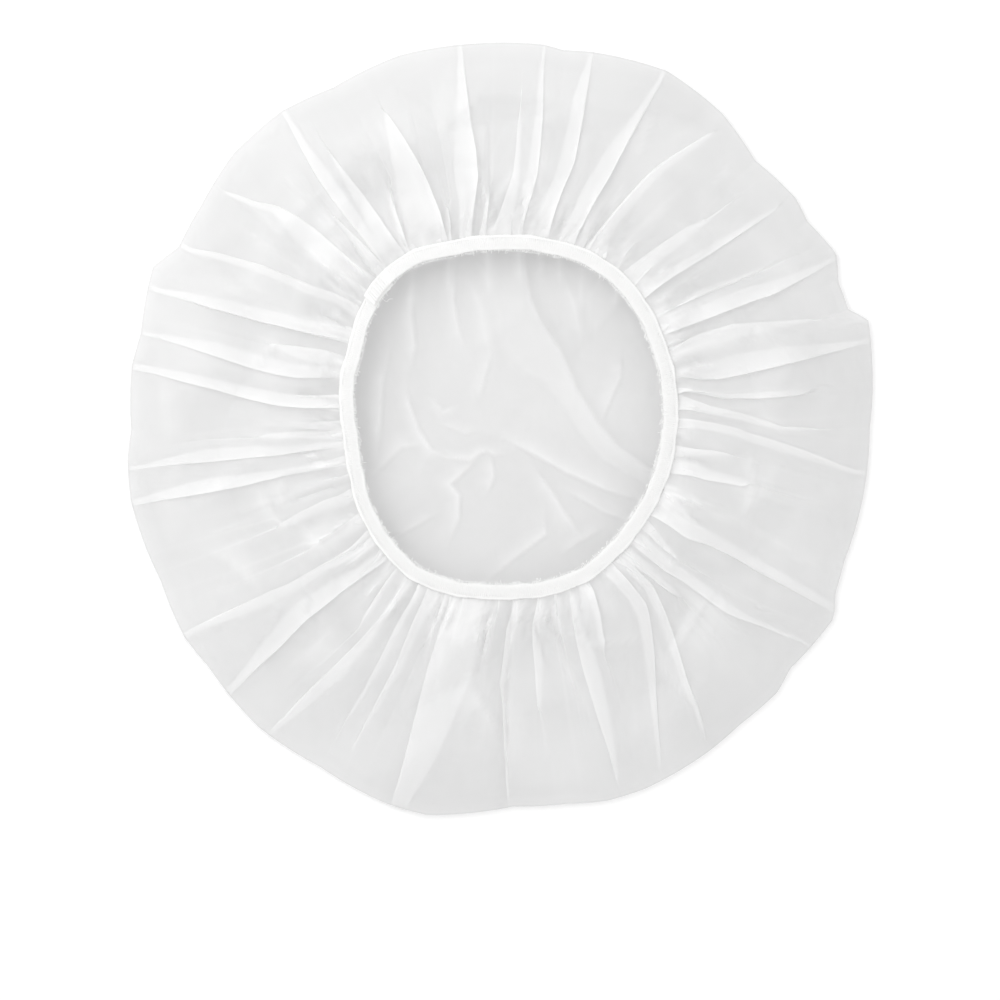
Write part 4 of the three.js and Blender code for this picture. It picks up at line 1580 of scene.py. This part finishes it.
@dataclass
class OverlockSeam:
    """The overlock seam along the tape: needle stitches, looper loops on both faces, and the join's tack.

    Attributes:
        tape: The tape that is sewn on.
        finish: Finish of the threads.
        film_level: Height of the film's under side below the tape.
        stitches: Stitches round the mouth.
        thread: Radius of the threads.
        needle_inset: Needle line, in from the tape's outer edge.
        needle_dip: How deep the needle thread dips into the tape.
        looper_gap: Distance of the loopers' outer ends from the needle line.
        end_gap: Gap between the lap and the seam's ends.
        slip: Spread of the stitches' small slips, as a share of a stitch.
        overshoot: Least and greatest length by which a loop passes its place at the inner edge.
        fibre: Radius of a loose fibre.
        fibre_count: Loose fibres along the tape's inner edge.
        tack_strokes: Strokes of the tack across the lap.
        tack_inset: Ends of these strokes, in from the tape's edges.
        tack_margin: Share of the lap that each end of it leaves without strokes.
        seed: Start of the chance numbers for slips and fibres.
    """

    tape: ElasticTape
    finish: SpunThread
    film_level: float
    stitches: int = 548
    thread: float = 0.12
    needle_inset: float = 1.0
    needle_dip: float = 0.16
    looper_gap: float = 0.2
    end_gap: float = 0.6
    slip: float = 0.07
    overshoot: tuple[float, float] = (-0.1, 0.45)
    fibre: float = 0.08
    fibre_count: int = 420
    tack_strokes: int = 9
    tack_inset: float = 0.35
    tack_margin: float = 0.14
    seed: int = 3

    def __post_init__(self) -> None:
        """Makes the threads' one material and the chance numbers for their small slips."""
        self.material = self.finish.material()
        self.rng = np.random.default_rng(self.seed)
        gap = self.tape.turn_over(self.end_gap)
        self.begin = self.tape.join_angle + self.tape.turn_over(self.tape.lap_length) / 2 + gap
        self.finish_angle = self.tape.start + FULL_TURN - gap

    @property
    def needle_line(self) -> float:
        """Distance of the needle line out from the tape's middle."""
        return self.tape.width / 2 - self.needle_inset

    def sewn(self, name: str, node: str, strands: Strands, sides: int) -> bpy.types.Object:
        """Makes one thread of the seam from its strands and puts it on the mouth's body.

        Args:
            name: Name of the piece.
            node: The solid that it stands for.
            strands: Middle line and radius of each strand.
            sides: Sides of the thread's section.

        Returns:
            The new piece.
        """
        points = []
        faces: Faces = []
        first = 0
        for path, radius in strands:
            corners, strand_faces = tube(path, radius, sides, first)
            points.append(corners)
            faces += strand_faces
            first += len(corners)
        thread = make_piece(name, np.vstack(points), faces, self.material)
        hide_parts(node)
        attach(thread, Body.MOUTH.value)
        return thread

    def strokes(self, shape: Line, outer: float, inner: float) -> tuple[Array, Array, Array]:
        """Stitches round the mouth that repeat one shape.

        Args:
            shape: Points of one stitch, as shares along the stitch and of the way from outer to inner.
            outer: Distance of the stitch's outer end from the tape's middle.
            inner: Distance of its inner end.

        Returns:
            Angles, distances out and shares of the way in, for all points.
        """
        form = np.array(shape)
        step = (self.finish_angle - self.begin) / self.stitches
        slip = self.rng.normal(0, self.slip, (self.stitches, 1))
        long = self.rng.uniform(*self.overshoot, (self.stitches, 1)) * (form[:, 1] > 0.9)
        angle = self.begin + (np.arange(self.stitches)[:, None] + form[:, 0] + slip) * step
        share = np.broadcast_to(form[:, 1], angle.shape)
        out = outer + (inner - outer) * share - long
        return angle.ravel(), out.ravel(), share.ravel()

    def needle(self) -> bpy.types.Object:
        """Makes the needle thread, a line of short stitches that dip into the tape.

        Returns:
            The thread.
        """
        form = ((0.0, 0.0), (0.25, 0.0), (0.75, 0.0))
        angle, out, _ = self.strokes(form, self.needle_line, self.needle_line - 1)
        dip = np.tile([-self.needle_dip, 0.0, 0.0], self.stitches)
        height = self.tape.top(angle) + dip
        path = polar(angle, self.tape.outline.mouth(angle) + out, height)
        return self.sewn("needle_stitches", "needle_thread", [(path, self.thread)], 6)

    def upper_looper(self) -> bpy.types.Object:
        """Makes the looper on the tape's upper face, whose loops wrap the tape's inner edge.

        Returns:
            The thread with its loose fibres.
        """
        form = (
            (0.05, 0.0), (0.2, 0.3), (0.35, 0.7), (0.45, 0.97),
            (0.5, 1.06), (0.55, 0.97), (0.7, 0.7), (0.85, 0.3),
        )
        angle, out, share = self.strokes(form, self.needle_line - self.looper_gap, -self.tape.width / 2)
        drop = np.where(share > 1, -0.5, np.where(share > 0.9, -0.14, -0.02))
        path = polar(angle, self.tape.outline.mouth(angle) + out, self.tape.top(angle) + drop)
        strands = [(path, self.thread)] + self.fibres()
        return self.sewn("upper_looper_loops", "upper_looper_thread", strands, 5)

    def fibres(self) -> Strands:
        """Lays fine loose fibres and small loops along the tape's inner edge by chance.

        Returns:
            Middle line and radius of each.
        """
        strands = []
        way = np.linspace(0, 1, 7)
        for _ in range(self.fibre_count):
            place = self.rng.uniform(0, FULL_TURN)
            long = 0.4 + self.rng.uniform(0, 1) ** 4 * 1.6
            bend = self.rng.normal(0, 1.2)
            turn = place + self.tape.turn_over(1.0) * bend * np.sin(self.rng.uniform(1.5, 3.2) * way)
            inward = -self.tape.width / 2 + 0.3 - long * np.sin(self.rng.uniform(1.8, 3.1) * way)
            height = self.tape.bottom + 0.7 - 0.8 * way * self.rng.uniform(0, 1)
            strands.append((polar(turn, self.tape.outline.mouth(turn) + inward, height), self.fibre))
        return strands

    def lower_looper(self) -> bpy.types.Object:
        """Makes the looper on the film's under side.

        Returns:
            The thread.
        """
        form = ((0.05, 0.0), (0.45, 1.0), (0.55, 1.0), (0.95, 0.0))
        angle, out, _ = self.strokes(form, self.needle_line - self.looper_gap, -self.tape.width / 2)
        height = np.full(len(angle), self.film_level - self.thread)
        path = polar(angle, self.tape.outline.mouth(angle) + out, height)
        return self.sewn("lower_looper_loops", "lower_looper_thread", [(path, self.thread)], 4)

    def tack(self) -> bpy.types.Object:
        """Makes the tack over the lapped ends, with its loose thread end.

        Returns:
            The thread.
        """
        strokes = self.tack_strokes
        lap = self.tape.turn_over(self.tape.lap_length)
        reach = self.tape.width / 2 - self.tack_inset
        first = self.tape.end - (1 - self.tack_margin) * lap
        last = self.tape.end - self.tack_margin * lap
        angle = np.repeat(np.linspace(first, last, strokes), 2)
        out = np.tile([reach, -reach, -reach, reach], strokes)[: 2 * strokes]
        path = polar(angle, self.tape.outline.mouth(angle) + out, self.tape.top(angle) + self.thread)
        way = np.linspace(0, 1, 24)
        wisp_turn = self.tape.join_angle + self.tape.turn_over(1.0) * (1.6 * np.sin(3.4 * way) - 1.2 * way)
        wisp_in = -self.tape.width / 2 + 0.6 - 4.6 * way + 0.5 * np.sin(9 * way)
        wisp_up = self.tape.bottom + 0.9 - 1.6 * way**2
        wisp = polar(wisp_turn, self.tape.outline.mouth(wisp_turn) + wisp_in, wisp_up)
        return self.sewn("join_tack", "lap_tack", [(path, self.thread), (wisp, 0.8 * self.thread)], 5)

    def build(self) -> list[bpy.types.Object]:
        """Makes the seam's four threads and gives them back."""
        return [self.needle(), self.upper_looper(), self.lower_looper(), self.tack()]


@dataclass
class Studio:
    """The camera over the cap, the floor and the soft light.

    Attributes:
        floor: Finish of the floor.
        frame_width: Width that the picture covers at the cap, in metres.
        camera_height: Height of the camera.
        picture_middle: How far the picture's middle lies in front of the cap's middle.
        cap_level: Height at which the picture's width is measured.
        floor_half: Half the floor's side, in millimetres.
        floor_drop: Depth of the floor below the crown, in millimetres.
        key_place: Place of the large lamp.
        key_size: Side of the large lamp.
        key_power: Power of the large lamp in watts.
        dome: Strength of the light from all round.
    """

    floor: PaleFloor
    frame_width: float = 0.3619
    camera_height: float = 4.0
    picture_middle: float = 0.0257
    cap_level: float = 0.004
    floor_half: float = 3000.0
    floor_drop: float = 0.3
    key_place: tuple[float, float, float] = (-0.36, 0.36, 0.52)
    key_size: float = 0.6
    key_power: float = 1.6
    dome: float = 0.9

    def camera(self) -> bpy.types.Object:
        """Makes the camera, which looks straight down.

        Returns:
            The camera.
        """
        data = bpy.data.cameras.new("camera")
        data.lens = data.sensor_width * (self.camera_height - self.cap_level) / self.frame_width
        data.clip_end = 20
        camera = bpy.data.objects.new("camera", data)
        camera.location = (0, -self.picture_middle, self.camera_height)
        bpy.context.scene.collection.objects.link(camera)
        bpy.context.scene.camera = camera
        return camera

    def ground(self) -> bpy.types.Object:
        """Makes the floor just below the crown.

        Returns:
            The floor.
        """
        half = self.floor_half
        plan = ((-half, -half), (half, -half), (half, half), (-half, half))
        corners = np.array([(x, y, -self.floor_drop) for x, y in plan])
        floor = make_piece("floor", corners, [(0, 1, 2, 3)], self.floor.material())
        return floor

    def light(self) -> None:
        """Makes the large lamp at the upper left and the even light all round."""
        data = bpy.data.lights.new("key", "AREA")
        data.size = self.key_size
        data.energy = self.key_power
        lamp = bpy.data.objects.new("key", data)
        lamp.location = self.key_place
        lamp.rotation_euler = (-Vector(self.key_place)).to_track_quat("-Z", "Y").to_euler()
        bpy.context.scene.collection.objects.link(lamp)
        world = bpy.data.worlds.new("studio")
        bpy.context.scene.world = world
        world.use_nodes = True
        nodes = world.node_tree.nodes
        links = world.node_tree.links
        path = nodes.new("ShaderNodeLightPath")
        level = nodes.new("ShaderNodeMapRange")
        level.inputs["To Min"].default_value = self.dome
        level.inputs["To Max"].default_value = 1.0
        links.new(path.outputs["Is Camera Ray"], level.inputs["Value"])
        links.new(level.outputs["Result"], nodes["Background"].inputs["Strength"])
        nodes["Background"].inputs["Color"].default_value = (1, 1, 1, 1)

    def build(self) -> None:
        """Sets the picture up."""
        scene = bpy.context.scene
        scene.view_settings.view_transform = "Standard"
        scene.cycles.transparent_max_bounces = 32
        scene.cycles.max_bounces = 16
        scene.cycles.diffuse_bounces = 10
        self.camera()
        self.ground()
        self.light()


def main() -> None:
    """Builds the studio and the cap, and reports each piece."""
    logging.basicConfig(level=logging.INFO, format="%(message)s")
    Studio(PaleFloor()).build()
    outline = CapOutline()
    tape_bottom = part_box("elastic_band")[0][2] / METRES
    film_level = tape_bottom - FILM_DEPTH
    tape = ElasticTape(outline, WovenElastic(), tape_bottom)
    film = Film(outline, FrostedFilm(), tape).build()
    log.info("%s: %d faces", film.name, len(film.data.polygons))
    band = tape.build()
    log.info("%s: %d faces", band.name, len(band.data.polygons))
    for thread in OverlockSeam(tape, SpunThread(), film_level).build():
        log.info("%s: %d faces", thread.name, len(thread.data.polygons))


if __name__ == "__main__":
    main()
